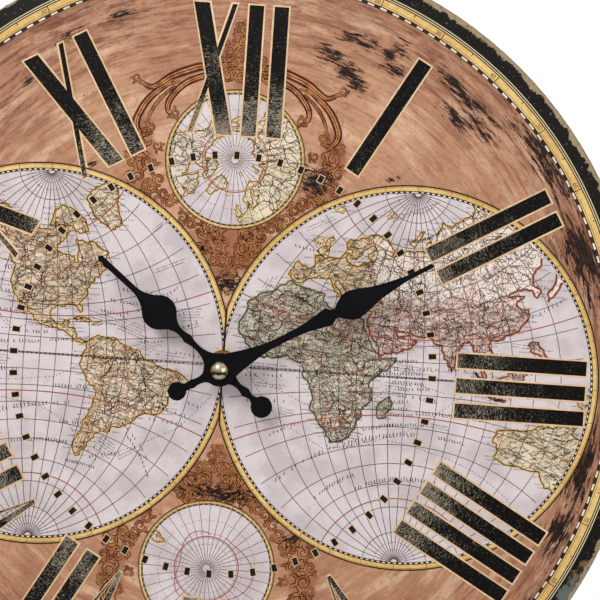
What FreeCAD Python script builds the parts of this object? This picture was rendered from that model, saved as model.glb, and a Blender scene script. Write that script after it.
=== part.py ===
import FreeCAD, Part

import math
import os

# Round wall clock: a printed board disc, two spade hands and a quartz movement clamped behind the board.
# Millimetres. +Z is up, +X is to the right seen from the front, and the front faces -Y.
# The origin is the centre of the hanger's nail hole, in the plane of the wall.
# The solids are drawn with the hand shaft on the Y axis and lowered below the nail hole at the end.

Vector = FreeCAD.Vector

# Dial
BOARD_DIAMETER = 340.0
BOARD_THICKNESS = 5.0
BOARD_EDGE_ROUND = 1.4
PRINT_THICKNESS = 0.2
PRINT_MARGIN = 0.6

# Clamp of the movement
BUSH_DIAMETER = 8.0
BUSH_PROUD = 0.6
BUSH_FLANGE_DIAMETER = 11.0
BUSH_FLANGE_THICKNESS = 0.6
BUSH_HOLE_CLEARANCE = 0.2
RUBBER_DIAMETER = 24.0
RUBBER_THICKNESS = 1.0
WASHER_DIAMETER = 12.0
WASHER_THICKNESS = 0.5
NUT_ACROSS_FLATS = 10.0
NUT_THICKNESS = 2.5
NUT_CHAMFER = 0.5

# Hanger
NAIL_ABOVE_CASE = 9.5
HANGER_WIDTH = 18.0
HANGER_THICKNESS = 1.0
HANGER_BEND_RADIUS = 1.0
HANGER_SHELF_GAP = 0.6
HANGER_BELOW_SHAFT = 9.0
NAIL_HOLE_DIAMETER = 8.0
NAIL_SLOT_WIDTH = 3.5
NAIL_SLOT_RISE = 6.0
NAIL_TAB_MARGIN = 3.2

# Hands
HAND_THICKNESS = 0.5
HOUR_HAND_LIFT = 2.2
HAND_GAP = 1.1
HUB_RADIUS = 6.3
MINUTE_REACH = 92.7
MINUTE_BLADE_HALF_WIDTH = 5.7
MINUTE_TIP_HALF_WIDTH = 0.8
MINUTE_TAIL_REACH = 18.5
MINUTE_TAIL_DISC_RADIUS = 3.55
MINUTE_COLLAR_HALF_WIDTH = 1.75
MINUTE_REST_DEGREES = 60.0
HOUR_REACH = 65.0
HOUR_BLADE_HALF_WIDTH = 6.75
HOUR_TIP_HALF_WIDTH = 1.12
HOUR_TAIL_REACH = 21.9
HOUR_TAIL_DISC_RADIUS = 4.2
HOUR_COLLAR_HALF_WIDTH = 1.9
HOUR_REST_DEGREES = 309.0
COLLET_WALL = 0.9
COLLET_DEPTH = 1.2
CAP_NUT_DIAMETER = 7.3
CAP_NUT_HEIGHT = 3.1
CAP_NUT_SKIRT = 0.7
CAP_NUT_ROOF = 0.7

# Hand shafts, from the middle outwards
SECONDS_ARBOR_RADIUS = 0.5
SECONDS_ARBOR_CLEARANCE = 0.08
MINUTE_ARBOR_SHARE = 0.71111
MINUTE_THREAD_RADIUS = 1.4
MINUTE_THREAD_LENGTH = 2.0
RUNNING_CLEARANCE = 0.06
HOUR_TUBE_WALL = 0.85

# Movement case
CASE_WALL = 1.2
CASE_FRONT_WALL = 1.6
CASE_CORNER_RADIUS = 3.0
DIVIDER_THICKNESS = 1.0
COVER_THICKNESS = 1.2
COVER_LIP_HEIGHT = 1.0
COVER_LIP_THICKNESS = 0.8
COVER_LIP_CLEARANCE = 0.15
THUMB_NOTCH_WIDTH = 22.0
THUMB_NOTCH_DEPTH = 9.0
THUMB_NOTCH_RADIUS = 3.0

# Battery and contacts
CELL_RADIUS = 7.15
CELL_LENGTH = 49.5
CELL_EDGE_ROUND = 0.5
NUB_RADIUS = 2.75
NUB_LENGTH = 1.0
CELL_CLEARANCE = 0.35
CONTACT_THICKNESS = 0.3
CONTACT_WIDTH = 9.0
CONTACT_TOUCH_GAP = 0.05
CONTACT_TAB_LENGTH = 4.0
CONTACT_TAB_WIDTH = 3.5
CONTACT_WALL_GAP = 0.2
SPRING_TONGUE_WIDTH = 5.0
SPRING_SPACE = 2.05
CELL_REAR_GAP = 0.15

# Plates, pillars and pivots
PLATE_THICKNESS = 1.0
PILLAR_RADIUS = 1.5
PILLAR_SHOULDER_RADIUS = 1.2
PILLAR_PEG_RADIUS = 0.9
PILLAR_INSET = 4.5
PILLAR_STATOR_GAP = 4.5
PILLAR_STRIP_HEIGHT = 2.29
PILLAR_REACH_SHARE = 0.73
BRIDGE_MARGIN = 0.8
BOSS_RADIUS = 1.8
PEG_CLEARANCE = 0.1
ARBOR_RADIUS = 0.4
PIVOT_CLEARANCE = 0.05
STUD_RADIUS = 0.8
WHEEL_GAP = 0.3
END_SHAKE = 0.1

# Wheels
WHEEL_THICKNESS = 0.8
THIN_WHEEL_THICKNESS = 0.6
PINION_EXTRA = 0.2
HUB_WALL = 0.7
SPOKE_WIDTH = 1.2
SPOKE_BARS = 2
HALF_TURN = 180.0
CANNON_TEETH = 12
MINUTE_WHEEL_TEETH = 36
HOUR_PINION_TEETH = 10
HOUR_WHEEL_TEETH = 40
KNOB_TEETH = 12
CENTER_WHEEL_TEETH = 64
THIRD_PINION_TEETH = 8
THIRD_WHEEL_TEETH = 60
FOURTH_PINION_TEETH = 8
FOURTH_WHEEL_TEETH = 40
INTERMEDIATE_PINION_TEETH = 8
INTERMEDIATE_WHEEL_TEETH = 48
ROTOR_TEETH = 8
# Wheel modules as shares of half the room inside the case
MINUTE_WHEEL_MODULE_SHARE = 0.0139925
CENTER_WHEEL_MODULE_SHARE = 0.00932836
FOURTH_WHEEL_MODULE_SHARE = 0.0141791
INTERMEDIATE_WHEEL_MODULE_SHARE = 0.00932836
# Tooth outline from root to tip: height over the pitch circle in modules, half width as a share of the pitch
WHEEL_TOOTH_SHARES = ((-1.2, 0.29), (0.0, 0.215), (0.8, 0.10))
PINION_TOOTH_SHARES = ((-1.25, 0.26), (0.0, 0.20), (0.75, 0.10))
# Directions between arbors, in degrees from +X towards +Z
MINUTE_WHEEL_DIRECTION = 180.0
KNOB_DIRECTION = 130.0
THIRD_WHEEL_DIRECTION = 20.0
INTERMEDIATE_DIRECTION = 115.0
ROTOR_DIRECTION = 120.0

# Setting clutch
CLUTCH_SPRING_THICKNESS = 0.15
CLUTCH_SPRING_RADIUS = 4.2
CLUTCH_PLATE_GAP = 0.3
ARBOR_FLANGE_RADIUS = 2.6
ARBOR_FLANGE_THICKNESS = 0.3

# Setting knob
KNOB_RADIUS = 6.3
KNOB_NOTCHES = 24
KNOB_NOTCH_RADIUS = 0.45
KNOB_DISH_DEPTH = 0.4
KNOB_RIM_WIDTH = 1.8
KNOB_SHAFT_RADIUS = 1.5
KNOB_PIVOT_RADIUS = 1.0
KNOB_BELOW_COVER = 0.3
KNOB_SOCKET_WALL = 1.1
KNOB_SOCKET_HEIGHT = 1.4
KNOB_HOLE_CLEARANCE = 0.35
WELL_GAP = 0.7
WELL_WALL = 0.8
WELL_FLOOR_GAP = 0.3
WELL_BRIDGE_GAP = 0.2

# Stepping motor
MAGNET_RADIUS = 1.75
MAGNET_LENGTH = 2.0
STATOR_THICKNESS = 0.8
STATOR_BAR_WIDTH = 5.0
STATOR_AIR_GAP = 0.45
STATOR_WALL_GAP = 2.0
STATOR_RIGHT_REACH = 10.5
STATOR_LEG_WIDTH = 4.5
STATOR_PEG_RADIUS = 0.6
COIL_WALL_GAP = 1.8
CORE_WIDTH = 2.4
BOBBIN_FLANGE_RADIUS = 3.3
BOBBIN_FLANGE_THICKNESS = 0.8
BOBBIN_TUBE_WALL = 0.5
WINDING_RADIUS = 2.9

# Circuit
BOARD_LEVEL_GAP = 0.2
CIRCUIT_THICKNESS = 0.8
CIRCUIT_STRIP_HEIGHT = 6.0
CIRCUIT_COLUMN_WIDTH = 13.5
CIRCUIT_TOP_GAP = 5.25
CIRCUIT_EDGE_GAP = 0.35
CHIP_RADIUS = 3.2
CHIP_HEIGHT = 1.1
CRYSTAL_RADIUS = 1.0
CRYSTAL_LENGTH = 6.0

# Overrun of every cutting tool past the face that it cuts
CUT_OVERRUN = 1.0

# Outlines of the hands: place along the hand as a share of its reach, half width as a share of its blade's
MINUTE_ARM_SHARES = (
    (0.030, 0.990), (0.060, 0.815), (0.084, 0.710), (0.126, 0.550), (0.168, 0.415), (0.210, 0.305),
    (0.252, 0.250), (0.310, 0.242), (0.378, 0.280), (0.420, 0.355), (0.465, 0.485), (0.513, 0.635),
)
MINUTE_NOTCH_SHARES = ((0.513, 0.635), (0.527, 0.410), (0.546, 0.310))
MINUTE_BLADE_SHARES = (
    (0.546, 0.310), (0.554, 0.430), (0.566, 0.590), (0.580, 0.740), (0.597, 0.910), (0.613, 0.990),
    (0.630, 1.000), (0.655, 0.920), (0.681, 0.795), (0.714, 0.620), (0.750, 0.475), (0.800, 0.335),
    (0.850, 0.215), (0.900, 0.150),
)
HOUR_ARM_SHARES = (
    (0.060, 0.700), (0.084, 0.490), (0.108, 0.335), (0.135, 0.235), (0.170, 0.160), (0.205, 0.155),
    (0.240, 0.200), (0.272, 0.275),
)
HOUR_NECK_SHARES = ((0.272, 0.275), (0.300, 0.200), (0.328, 0.180), (0.352, 0.205))
HOUR_BLADE_SHARES = (
    (0.352, 0.205), (0.376, 0.285), (0.400, 0.425), (0.424, 0.660), (0.448, 0.850), (0.475, 0.970),
    (0.500, 1.000), (0.530, 0.965), (0.560, 0.830), (0.590, 0.590), (0.620, 0.400), (0.655, 0.255),
    (0.700, 0.165),
)
# The tails: place as a share of the disc's reach, half width as a share of the collar's
MINUTE_TAIL_ARM_SHARES = (
    (0.170, 3.050), (0.225, 2.450), (0.294, 1.720), (0.377, 0.980), (0.460, 0.790), (0.545, 0.765),
    (0.630, 1.000),
)
MINUTE_TAIL_NECK_SHARES = ((0.630, 1.000), (0.680, 0.890), (0.740, 0.840), (0.860, 0.860))
HOUR_TAIL_ARM_SHARES = (
    (0.160, 2.700), (0.205, 2.100), (0.248, 1.600), (0.319, 0.930), (0.390, 0.660), (0.470, 0.590),
    (0.550, 0.780), (0.613, 1.000),
)
HOUR_TAIL_NECK_SHARES = ((0.613, 1.000), (0.674, 0.700), (0.747, 0.520), (0.805, 0.780), (0.860, 0.900))

# The case is as long and as deep as the cell needs
contact_depth = CONTACT_WALL_GAP + CONTACT_THICKNESS
inner_side = CELL_LENGTH + NUB_LENGTH + CONTACT_TOUCH_GAP + contact_depth * 2 + SPRING_SPACE
inner_half = inner_side / 2
case_half = inner_half + CASE_WALL
hanger_drop = case_half + NAIL_ABOVE_CASE
minute_wheel_module = inner_half * MINUTE_WHEEL_MODULE_SHARE
center_wheel_module = inner_half * CENTER_WHEEL_MODULE_SHARE
fourth_wheel_module = inner_half * FOURTH_WHEEL_MODULE_SHARE
intermediate_wheel_module = inner_half * INTERMEDIATE_WHEEL_MODULE_SHARE
minute_arbor_radius = CANNON_TEETH * minute_wheel_module / 2 * MINUTE_ARBOR_SHARE

# Depths, front to back: the wall is at zero and everything is in front of it
case_rear_y = 0.0
case_front_y = case_rear_y - CELL_REAR_GAP - CELL_RADIUS * 2 - CELL_CLEARANCE - CASE_WALL
hanger_front_y = case_front_y - HANGER_THICKNESS
rubber_front_y = hanger_front_y - RUBBER_THICKNESS
board_front_y = rubber_front_y - BOARD_THICKNESS
print_front_y = board_front_y - PRINT_THICKNESS
washer_front_y = print_front_y - WASHER_THICKNESS
nut_front_y = washer_front_y - NUT_THICKNESS
bush_front_y = nut_front_y - BUSH_PROUD
hour_hand_rear_y = bush_front_y - HOUR_HAND_LIFT
hour_hand_front_y = hour_hand_rear_y - HAND_THICKNESS
minute_hand_rear_y = hour_hand_front_y - HAND_GAP
minute_hand_front_y = minute_hand_rear_y - HAND_THICKNESS
cap_nut_front_y = minute_hand_front_y - CAP_NUT_HEIGHT

inner_front_y = case_front_y + CASE_FRONT_WALL
flange_rear_y = inner_front_y + BUSH_FLANGE_THICKNESS
hour_wheel_y = (flange_rear_y + WHEEL_GAP, flange_rear_y + WHEEL_GAP + WHEEL_THICKNESS)
cannon_y = (hour_wheel_y[1] + WHEEL_GAP, hour_wheel_y[1] + WHEEL_GAP + WHEEL_THICKNESS + PINION_EXTRA)
minute_wheel_y = (cannon_y[0] + END_SHAKE, cannon_y[0] + END_SHAKE + WHEEL_THICKNESS)
plate_front_y = cannon_y[1] + WHEEL_GAP
plate_rear_y = plate_front_y + PLATE_THICKNESS
clutch_y = (plate_rear_y + CLUTCH_PLATE_GAP, plate_rear_y + CLUTCH_PLATE_GAP + CLUTCH_SPRING_THICKNESS)
center_wheel_y = (clutch_y[1] + PIVOT_CLEARANCE, clutch_y[1] + PIVOT_CLEARANCE + WHEEL_THICKNESS)
arbor_rear_y = center_wheel_y[1] + PIVOT_CLEARANCE + ARBOR_FLANGE_THICKNESS
wheel_step = WHEEL_GAP + PINION_EXTRA
third_wheel_y = (arbor_rear_y + WHEEL_GAP, arbor_rear_y + WHEEL_GAP + THIN_WHEEL_THICKNESS)
fourth_wheel_y = (third_wheel_y[1] + wheel_step, third_wheel_y[1] + wheel_step + THIN_WHEEL_THICKNESS)
intermediate_wheel_y = (fourth_wheel_y[1] + wheel_step, fourth_wheel_y[1] + wheel_step + THIN_WHEEL_THICKNESS)
circuit_y = (intermediate_wheel_y[1] + WHEEL_GAP, intermediate_wheel_y[1] + WHEEL_GAP + CIRCUIT_THICKNESS)
bridge_front_y = circuit_y[1] + BOARD_LEVEL_GAP
bridge_rear_y = bridge_front_y + PLATE_THICKNESS
cover_front_y = case_rear_y - COVER_THICKNESS
stator_y = (fourth_wheel_y[1] - STATOR_THICKNESS, fourth_wheel_y[1])
core_y = (stator_y[1], stator_y[1] + STATOR_THICKNESS)
rotor_pinion_y = (intermediate_wheel_y[0] - END_SHAKE, intermediate_wheel_y[1] + END_SHAKE)
well_rear_y = bridge_rear_y + WELL_BRIDGE_GAP + WELL_WALL
knob_front_y = well_rear_y + WELL_FLOOR_GAP
knob_rear_y = case_rear_y - KNOB_BELOW_COVER

# Sizes that follow from the fits
bush_radius = BUSH_DIAMETER / 2
hour_tube_inner = minute_arbor_radius + RUNNING_CLEARANCE
hour_tube_outer = hour_tube_inner + HOUR_TUBE_WALL
bush_bore_radius = hour_tube_outer + RUNNING_CLEARANCE
bush_hole_radius = bush_radius + BUSH_HOLE_CLEARANCE
board_radius = BOARD_DIAMETER / 2
nub_face_x = inner_half - CONTACT_WALL_GAP - CONTACT_THICKNESS - CONTACT_TOUCH_GAP
shoulder_x = nub_face_x - NUB_LENGTH
cell_base_x = shoulder_x - CELL_LENGTH
cell_z = -inner_half + CELL_CLEARANCE + CELL_RADIUS
cell_y = case_front_y + CASE_WALL + CELL_CLEARANCE + CELL_RADIUS
divider_top_z = cell_z + CELL_RADIUS + CELL_CLEARANCE + DIVIDER_THICKNESS
divider_low_z = divider_top_z - DIVIDER_THICKNESS


def pitch_radius(teeth, module):
    return teeth * module / 2


def along(start, degrees, distance):
    """The point at a distance from another, in a direction measured from +X towards +Z."""
    angle = math.radians(degrees)
    return (start[0] + distance * math.cos(angle), start[1] + distance * math.sin(angle))


# Arbors: the motion work shares one centre distance, and the train's modules follow from theirs
SHAFT = (0.0, 0.0)
motion_distance = pitch_radius(CANNON_TEETH + MINUTE_WHEEL_TEETH, minute_wheel_module)
hour_module = motion_distance * 2 / (HOUR_PINION_TEETH + HOUR_WHEEL_TEETH)
minute_wheel_at = along(SHAFT, MINUTE_WHEEL_DIRECTION, motion_distance)
knob_distance = pitch_radius(MINUTE_WHEEL_TEETH + KNOB_TEETH, minute_wheel_module)
knob_at = along(minute_wheel_at, KNOB_DIRECTION, knob_distance)
third_distance = pitch_radius(THIRD_PINION_TEETH + CENTER_WHEEL_TEETH, center_wheel_module)
third_module = third_distance * 2 / (THIRD_WHEEL_TEETH + FOURTH_PINION_TEETH)
third_at = along(SHAFT, THIRD_WHEEL_DIRECTION, third_distance)
intermediate_distance = pitch_radius(FOURTH_WHEEL_TEETH + INTERMEDIATE_PINION_TEETH, fourth_wheel_module)
intermediate_at = along(SHAFT, INTERMEDIATE_DIRECTION, intermediate_distance)
rotor_distance = pitch_radius(INTERMEDIATE_WHEEL_TEETH + ROTOR_TEETH, intermediate_wheel_module)
rotor_at = along(intermediate_at, ROTOR_DIRECTION, rotor_distance)
core_z = inner_half - COIL_WALL_GAP - BOBBIN_FLANGE_RADIUS
stator_left_x = -inner_half + STATOR_WALL_GAP
stator_right_x = rotor_at[0] + STATOR_RIGHT_REACH


def rod(radius, y_front, y_rear, at=SHAFT):
    """A round bar along Y between two depths."""
    return Part.makeCylinder(radius, y_rear - y_front, Vector(at[0], y_front, at[1]), Vector(0, 1, 0))


def ring(outer, inner, y_front, y_rear, at=SHAFT):
    return rod(outer, y_front, y_rear, at).cut(rod(inner, y_front - CUT_OVERRUN, y_rear + CUT_OVERRUN, at))


def block(x_range, y_range, z_range):
    corner = Vector(x_range[0], y_range[0], z_range[0])
    return Part.makeBox(x_range[1] - x_range[0], y_range[1] - y_range[0], z_range[1] - z_range[0], corner)


def slab(points, y_front, y_rear):
    """A flat plate with a polygon outline, from (x, z) points."""
    corners = [Vector(x, y_front, z) for x, z in points]
    face = Part.Face(Part.makePolygon(corners + corners[:1]))
    return face.extrude(Vector(0, y_rear - y_front, 0))


def rounded_block(x_range, y_range, z_range, radius):
    """A box whose four edges along Y are rounded."""
    shape = block(x_range, y_range, z_range)
    edges = [edge for edge in shape.Edges if is_along_y(edge)]
    return shape.makeFillet(radius, edges)


def is_along_y(edge):
    direction = edge.tangentAt(edge.FirstParameter)
    return abs(direction.y) > abs(direction.x) + abs(direction.z)


def joined(shapes):
    return shapes[0].fuse(shapes[1:]).removeSplitter()


def polar(radius, angle, at):
    return (at[0] + radius * math.cos(angle), at[1] + radius * math.sin(angle))


def toothed(teeth, module, y_range, at, phase, shares):
    """A toothed disc: phase is the angle of one tooth's middle, from +X towards +Z."""
    pitch = 2 * math.pi / teeth
    points = []
    for index in range(teeth):
        middle = phase + index * pitch
        flank = [(pitch_radius(teeth, module) + rise * module, half * pitch) for rise, half in shares]
        points += [polar(radius, middle - half, at) for radius, half in flank]
        points += [polar(radius, middle + half, at) for radius, half in reversed(flank)]
    return slab(points, y_range[0], y_range[1])


def wheel(teeth, module, y_range, at, phase):
    return toothed(teeth, module, y_range, at, phase, WHEEL_TOOTH_SHARES)


def pinion(teeth, module, y_range, at, phase):
    return toothed(teeth, module, y_range, at, phase, PINION_TOOTH_SHARES)


def meshing(teeth, phase, at, other_teeth, other_at):
    """The phase at which a second gear's gaps take the first gear's teeth."""
    line = math.atan2(other_at[1] - at[1], other_at[0] - at[0])
    pitch = 2 * math.pi / teeth
    past_tooth = ((line - phase) / pitch) % 1
    return line + math.pi + (past_tooth + 1 / 2) * 2 * math.pi / other_teeth


def windows(inner, outer, y_range, at):
    """The openings between the spokes of a wheel. Each bar makes two spokes."""
    band = ring(outer, inner, y_range[0] - CUT_OVERRUN, y_range[1] + CUT_OVERRUN, at)
    bars = []
    half = SPOKE_WIDTH / 2
    reach = outer + CUT_OVERRUN
    for index in range(SPOKE_BARS):
        bar = block(
            (-reach, reach), (y_range[0] - CUT_OVERRUN * 2, y_range[1] + CUT_OVERRUN * 2), (-half, half)
        )
        bar.rotate(Vector(0, 0, 0), Vector(0, 1, 0), HALF_TURN * index / SPOKE_BARS)
        bar.translate(Vector(at[0], 0, at[1]))
        bars.append(bar)
    return band.cut(bars)


def spoked_wheel(teeth, module, y_range, at, phase, hub_radius):
    disc = wheel(teeth, module, y_range, at, phase)
    rim = pitch_radius(teeth, module) - module * 3
    return disc.cut(windows(hub_radius + HUB_WALL, rim, y_range, at))


def dial_board():
    disc = rod(board_radius, board_front_y, rubber_front_y)
    front_edge = [edge for edge in disc.Edges if edge.BoundBox.YMax < rubber_front_y - BOARD_THICKNESS / 2]
    disc = disc.makeFillet(BOARD_EDGE_ROUND, front_edge)
    return disc.cut(rod(bush_hole_radius, board_front_y - CUT_OVERRUN, rubber_front_y + CUT_OVERRUN))


def dial_print():
    radius = board_radius - BOARD_EDGE_ROUND - PRINT_MARGIN
    return ring(radius, bush_hole_radius, print_front_y, board_front_y)


def rubber_washer():
    return ring(RUBBER_DIAMETER / 2, bush_hole_radius, rubber_front_y, hanger_front_y)


def nut_washer():
    return ring(WASHER_DIAMETER / 2, bush_hole_radius, washer_front_y, print_front_y)


def mounting_nut():
    corner_radius = NUT_ACROSS_FLATS / 2 / math.cos(math.pi / 6)
    corners = [polar(corner_radius, math.pi / 3 * side, SHAFT) for side in range(6)]
    prism = slab(corners, nut_front_y, washer_front_y)
    cone_height = corner_radius - NUT_ACROSS_FLATS / 2 + NUT_CHAMFER + NUT_THICKNESS
    cone = Part.makeCone(
        NUT_ACROSS_FLATS / 2 - NUT_CHAMFER / 2,
        NUT_ACROSS_FLATS / 2 - NUT_CHAMFER / 2 + cone_height * 2,
        cone_height,
        Vector(0, nut_front_y, 0),
        Vector(0, 1, 0),
    )
    return prism.common(cone).cut(rod(bush_radius, nut_front_y - CUT_OVERRUN, washer_front_y + CUT_OVERRUN))


def threaded_bush():
    body = rod(bush_radius, bush_front_y, flange_rear_y)
    flange = rod(BUSH_FLANGE_DIAMETER / 2, inner_front_y, flange_rear_y)
    bore = rod(bush_bore_radius, bush_front_y - CUT_OVERRUN, flange_rear_y + CUT_OVERRUN)
    return joined([body, flange]).cut(bore)


def hanger_plate():
    """A strip that lies against the case, steps back over it and ends in the nail tab at the wall."""
    shelf_low_z = case_half + HANGER_SHELF_GAP
    shelf_top_z = shelf_low_z + HANGER_THICKNESS
    tab_top_z = hanger_drop + NAIL_HOLE_DIAMETER / 2 + NAIL_SLOT_RISE + NAIL_TAB_MARGIN
    tab_front_y = case_rear_y - HANGER_THICKNESS
    half = HANGER_WIDTH / 2
    side = [
        (hanger_front_y, -HANGER_BELOW_SHAFT),
        (case_front_y, -HANGER_BELOW_SHAFT),
        (case_front_y, shelf_low_z),
        (case_rear_y, shelf_low_z),
        (case_rear_y, tab_top_z),
        (tab_front_y, tab_top_z),
        (tab_front_y, shelf_top_z),
        (hanger_front_y, shelf_top_z),
    ]
    corners = [Vector(-half, y, z) for y, z in side]
    strip = Part.Face(Part.makePolygon(corners + corners[:1])).extrude(Vector(HANGER_WIDTH, 0, 0))
    outside = [(hanger_front_y, shelf_top_z), (case_rear_y, shelf_low_z)]
    inside = [(case_front_y, shelf_low_z), (tab_front_y, shelf_top_z)]
    strip = round_bends(strip, outside, HANGER_BEND_RADIUS + HANGER_THICKNESS / 2)
    strip = round_bends(strip, inside, HANGER_BEND_RADIUS / 2)
    strip = strip.cut(rod(bush_hole_radius, hanger_front_y - CUT_OVERRUN, case_front_y + CUT_OVERRUN))
    strip = strip.cut(nail_keyhole(tab_front_y))
    ends = [edge for edge in strip.Edges if is_end_corner(edge, tab_top_z)]
    return strip.makeFillet(half / 2, ends)


def round_bends(shape, places, radius):
    """Rounds the edges along X that run through the given (y, z) places."""
    edges = []
    for edge in shape.Edges:
        middle = edge.CenterOfMass
        for y, z in places:
            if math.hypot(middle.y - y, middle.z - z) < HANGER_THICKNESS / 10:
                edges.append(edge)
    return shape.makeFillet(radius, edges)


def is_end_corner(edge, tab_top_z):
    """True for the short edges through the sheet at the strip's two ends."""
    if edge.Length > HANGER_THICKNESS * 3 / 2 or not is_along_y(edge):
        return False
    z = edge.CenterOfMass.z
    at_top = abs(z - tab_top_z) < HANGER_THICKNESS
    at_bottom = abs(z + HANGER_BELOW_SHAFT) < HANGER_THICKNESS
    return at_top or at_bottom


def nail_keyhole(tab_front_y):
    """A round hole for the nail's head with a narrow slot above it for the nail."""
    y_front = tab_front_y - CUT_OVERRUN
    y_rear = case_rear_y + CUT_OVERRUN
    hole_at = (0.0, hanger_drop)
    slot_top = (0.0, hanger_drop + NAIL_HOLE_DIAMETER / 2 + NAIL_SLOT_RISE - NAIL_SLOT_WIDTH / 2)
    hole = rod(NAIL_HOLE_DIAMETER / 2, y_front, y_rear, hole_at)
    slot = block((-NAIL_SLOT_WIDTH / 2, NAIL_SLOT_WIDTH / 2), (y_front, y_rear), (hole_at[1], slot_top[1]))
    crown = rod(NAIL_SLOT_WIDTH / 2, y_front, y_rear, slot_top)
    return joined([hole, slot, crown])


def hand_edge(shares, reach, half_width, side):
    """One smooth stretch of a hand's outline, on the side given by +1 or -1."""
    points = [Vector(side * width * half_width, 0, place * reach) for place, width in shares]
    curve = Part.BSplineCurve()
    curve.interpolate(points)
    return curve.toShape()


def line(start, end):
    return Part.LineSegment(start, end).toShape()


def closed_blade(stretches, reach, half_width, tip_half_width):
    """A face from one side's stretches, their mirror, a rounded tip and a straight end inside the hub."""
    edges = []
    for side in (1, -1):
        for shares in stretches:
            edges.append(hand_edge(shares, reach, half_width, side))
    last = stretches[-1][-1]
    first = stretches[0][0]
    tip_z = reach - tip_half_width
    for side in (1, -1):
        blade_end = Vector(side * last[1] * half_width, 0, last[0] * reach)
        edges.append(line(blade_end, Vector(side * tip_half_width, 0, tip_z)))
    tip = Part.Arc(Vector(tip_half_width, 0, tip_z), Vector(0, 0, reach), Vector(-tip_half_width, 0, tip_z))
    edges.append(tip.toShape())
    base_z = first[0] * reach
    base_half = first[1] * half_width
    edges.append(line(Vector(base_half, 0, base_z), Vector(-base_half, 0, base_z)))
    return Part.Face(Part.Wire(Part.__sortEdges__(edges)))


def tail_faces(stretches, reach, collar_half_width, disc_radius):
    """The neck of a hand's tail with its collar, and the disc at its end."""
    edges = []
    for side in (1, -1):
        for shares in stretches:
            edges.append(hand_edge(shares, -reach, collar_half_width, side))
    for place, width in (stretches[0][0], stretches[-1][-1]):
        half = width * collar_half_width
        edges.append(line(Vector(half, 0, -place * reach), Vector(-half, 0, -place * reach)))
    neck = Part.Face(Part.Wire(Part.__sortEdges__(edges)))
    disc = Part.Face(Part.Wire(Part.makeCircle(disc_radius, Vector(0, 0, -reach), Vector(0, 1, 0))))
    return neck, disc


def hand(blade, tail, depths, bore_radius, degrees):
    """A flat spade hand that points at a clock angle from the top, clockwise seen from the front."""
    hub = Part.Face(Part.Wire(Part.makeCircle(HUB_RADIUS, Vector(0, 0, 0), Vector(0, 1, 0))))
    faces = [blade, hub] + list(tail)
    solids = [face.extrude(Vector(0, depths[1] - depths[0], 0)) for face in faces]
    shape = joined(solids)
    shape.translate(Vector(0, depths[0], 0))
    shape = bored(shape, bore_radius, depths, SHAFT)
    shape.rotate(Vector(0, 0, 0), Vector(0, 1, 0), degrees)
    return shape


def hour_hand():
    stretches = (HOUR_ARM_SHARES, HOUR_NECK_SHARES, HOUR_BLADE_SHARES)
    blade = closed_blade(stretches, HOUR_REACH, HOUR_BLADE_HALF_WIDTH, HOUR_TIP_HALF_WIDTH)
    tail_stretches = (HOUR_TAIL_ARM_SHARES, HOUR_TAIL_NECK_SHARES)
    tail = tail_faces(tail_stretches, HOUR_TAIL_REACH, HOUR_COLLAR_HALF_WIDTH, HOUR_TAIL_DISC_RADIUS)
    return hand(blade, tail, (hour_hand_front_y, hour_hand_rear_y), hour_tube_outer, HOUR_REST_DEGREES)


def minute_hand():
    stretches = (MINUTE_ARM_SHARES, MINUTE_NOTCH_SHARES, MINUTE_BLADE_SHARES)
    blade = closed_blade(stretches, MINUTE_REACH, MINUTE_BLADE_HALF_WIDTH, MINUTE_TIP_HALF_WIDTH)
    tail_stretches = (MINUTE_TAIL_ARM_SHARES, MINUTE_TAIL_NECK_SHARES)
    tail = tail_faces(tail_stretches, MINUTE_TAIL_REACH, MINUTE_COLLAR_HALF_WIDTH, MINUTE_TAIL_DISC_RADIUS)
    depths = (minute_hand_front_y, minute_hand_rear_y)
    return hand(blade, tail, depths, MINUTE_THREAD_RADIUS, MINUTE_REST_DEGREES)


def hour_collet():
    outer = hour_tube_outer + COLLET_WALL
    return ring(outer, hour_tube_outer, hour_hand_rear_y, hour_hand_rear_y + COLLET_DEPTH)


def minute_collet():
    depth = HAND_GAP - WHEEL_GAP
    outer = minute_arbor_radius + COLLET_WALL
    return ring(outer, minute_arbor_radius, minute_hand_rear_y, minute_hand_rear_y + depth)


def cap_nut():
    """A closed dome nut: a short skirt, a ball cap and a blind bore."""
    radius = CAP_NUT_DIAMETER / 2
    skirt_front_y = minute_hand_front_y - CAP_NUT_SKIRT
    rise = CAP_NUT_HEIGHT - CAP_NUT_SKIRT
    ball_radius = (radius * radius + rise * rise) / 2 / rise
    ball = Part.makeSphere(ball_radius, Vector(0, skirt_front_y + ball_radius - rise, 0))
    dome = ball.common(rod(radius, cap_nut_front_y - CUT_OVERRUN, skirt_front_y))
    skirt = rod(radius, skirt_front_y, minute_hand_front_y)
    bore = rod(MINUTE_THREAD_RADIUS, cap_nut_front_y + CAP_NUT_ROOF, minute_hand_front_y + CUT_OVERRUN)
    return joined([dome, skirt]).cut(bore)


def minute_arbor():
    """The hollow arbor: a thread for the cap nut in front, the clutch flange at its rear end."""
    thread_front_y = minute_hand_front_y - MINUTE_THREAD_LENGTH
    body = rod(minute_arbor_radius, minute_hand_rear_y, arbor_rear_y)
    thread = rod(MINUTE_THREAD_RADIUS, thread_front_y, minute_hand_rear_y)
    flange = rod(ARBOR_FLANGE_RADIUS, arbor_rear_y - ARBOR_FLANGE_THICKNESS, arbor_rear_y)
    bore_radius = SECONDS_ARBOR_RADIUS + SECONDS_ARBOR_CLEARANCE
    return bored(joined([body, thread, flange]), bore_radius, (thread_front_y, arbor_rear_y), SHAFT)


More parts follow.
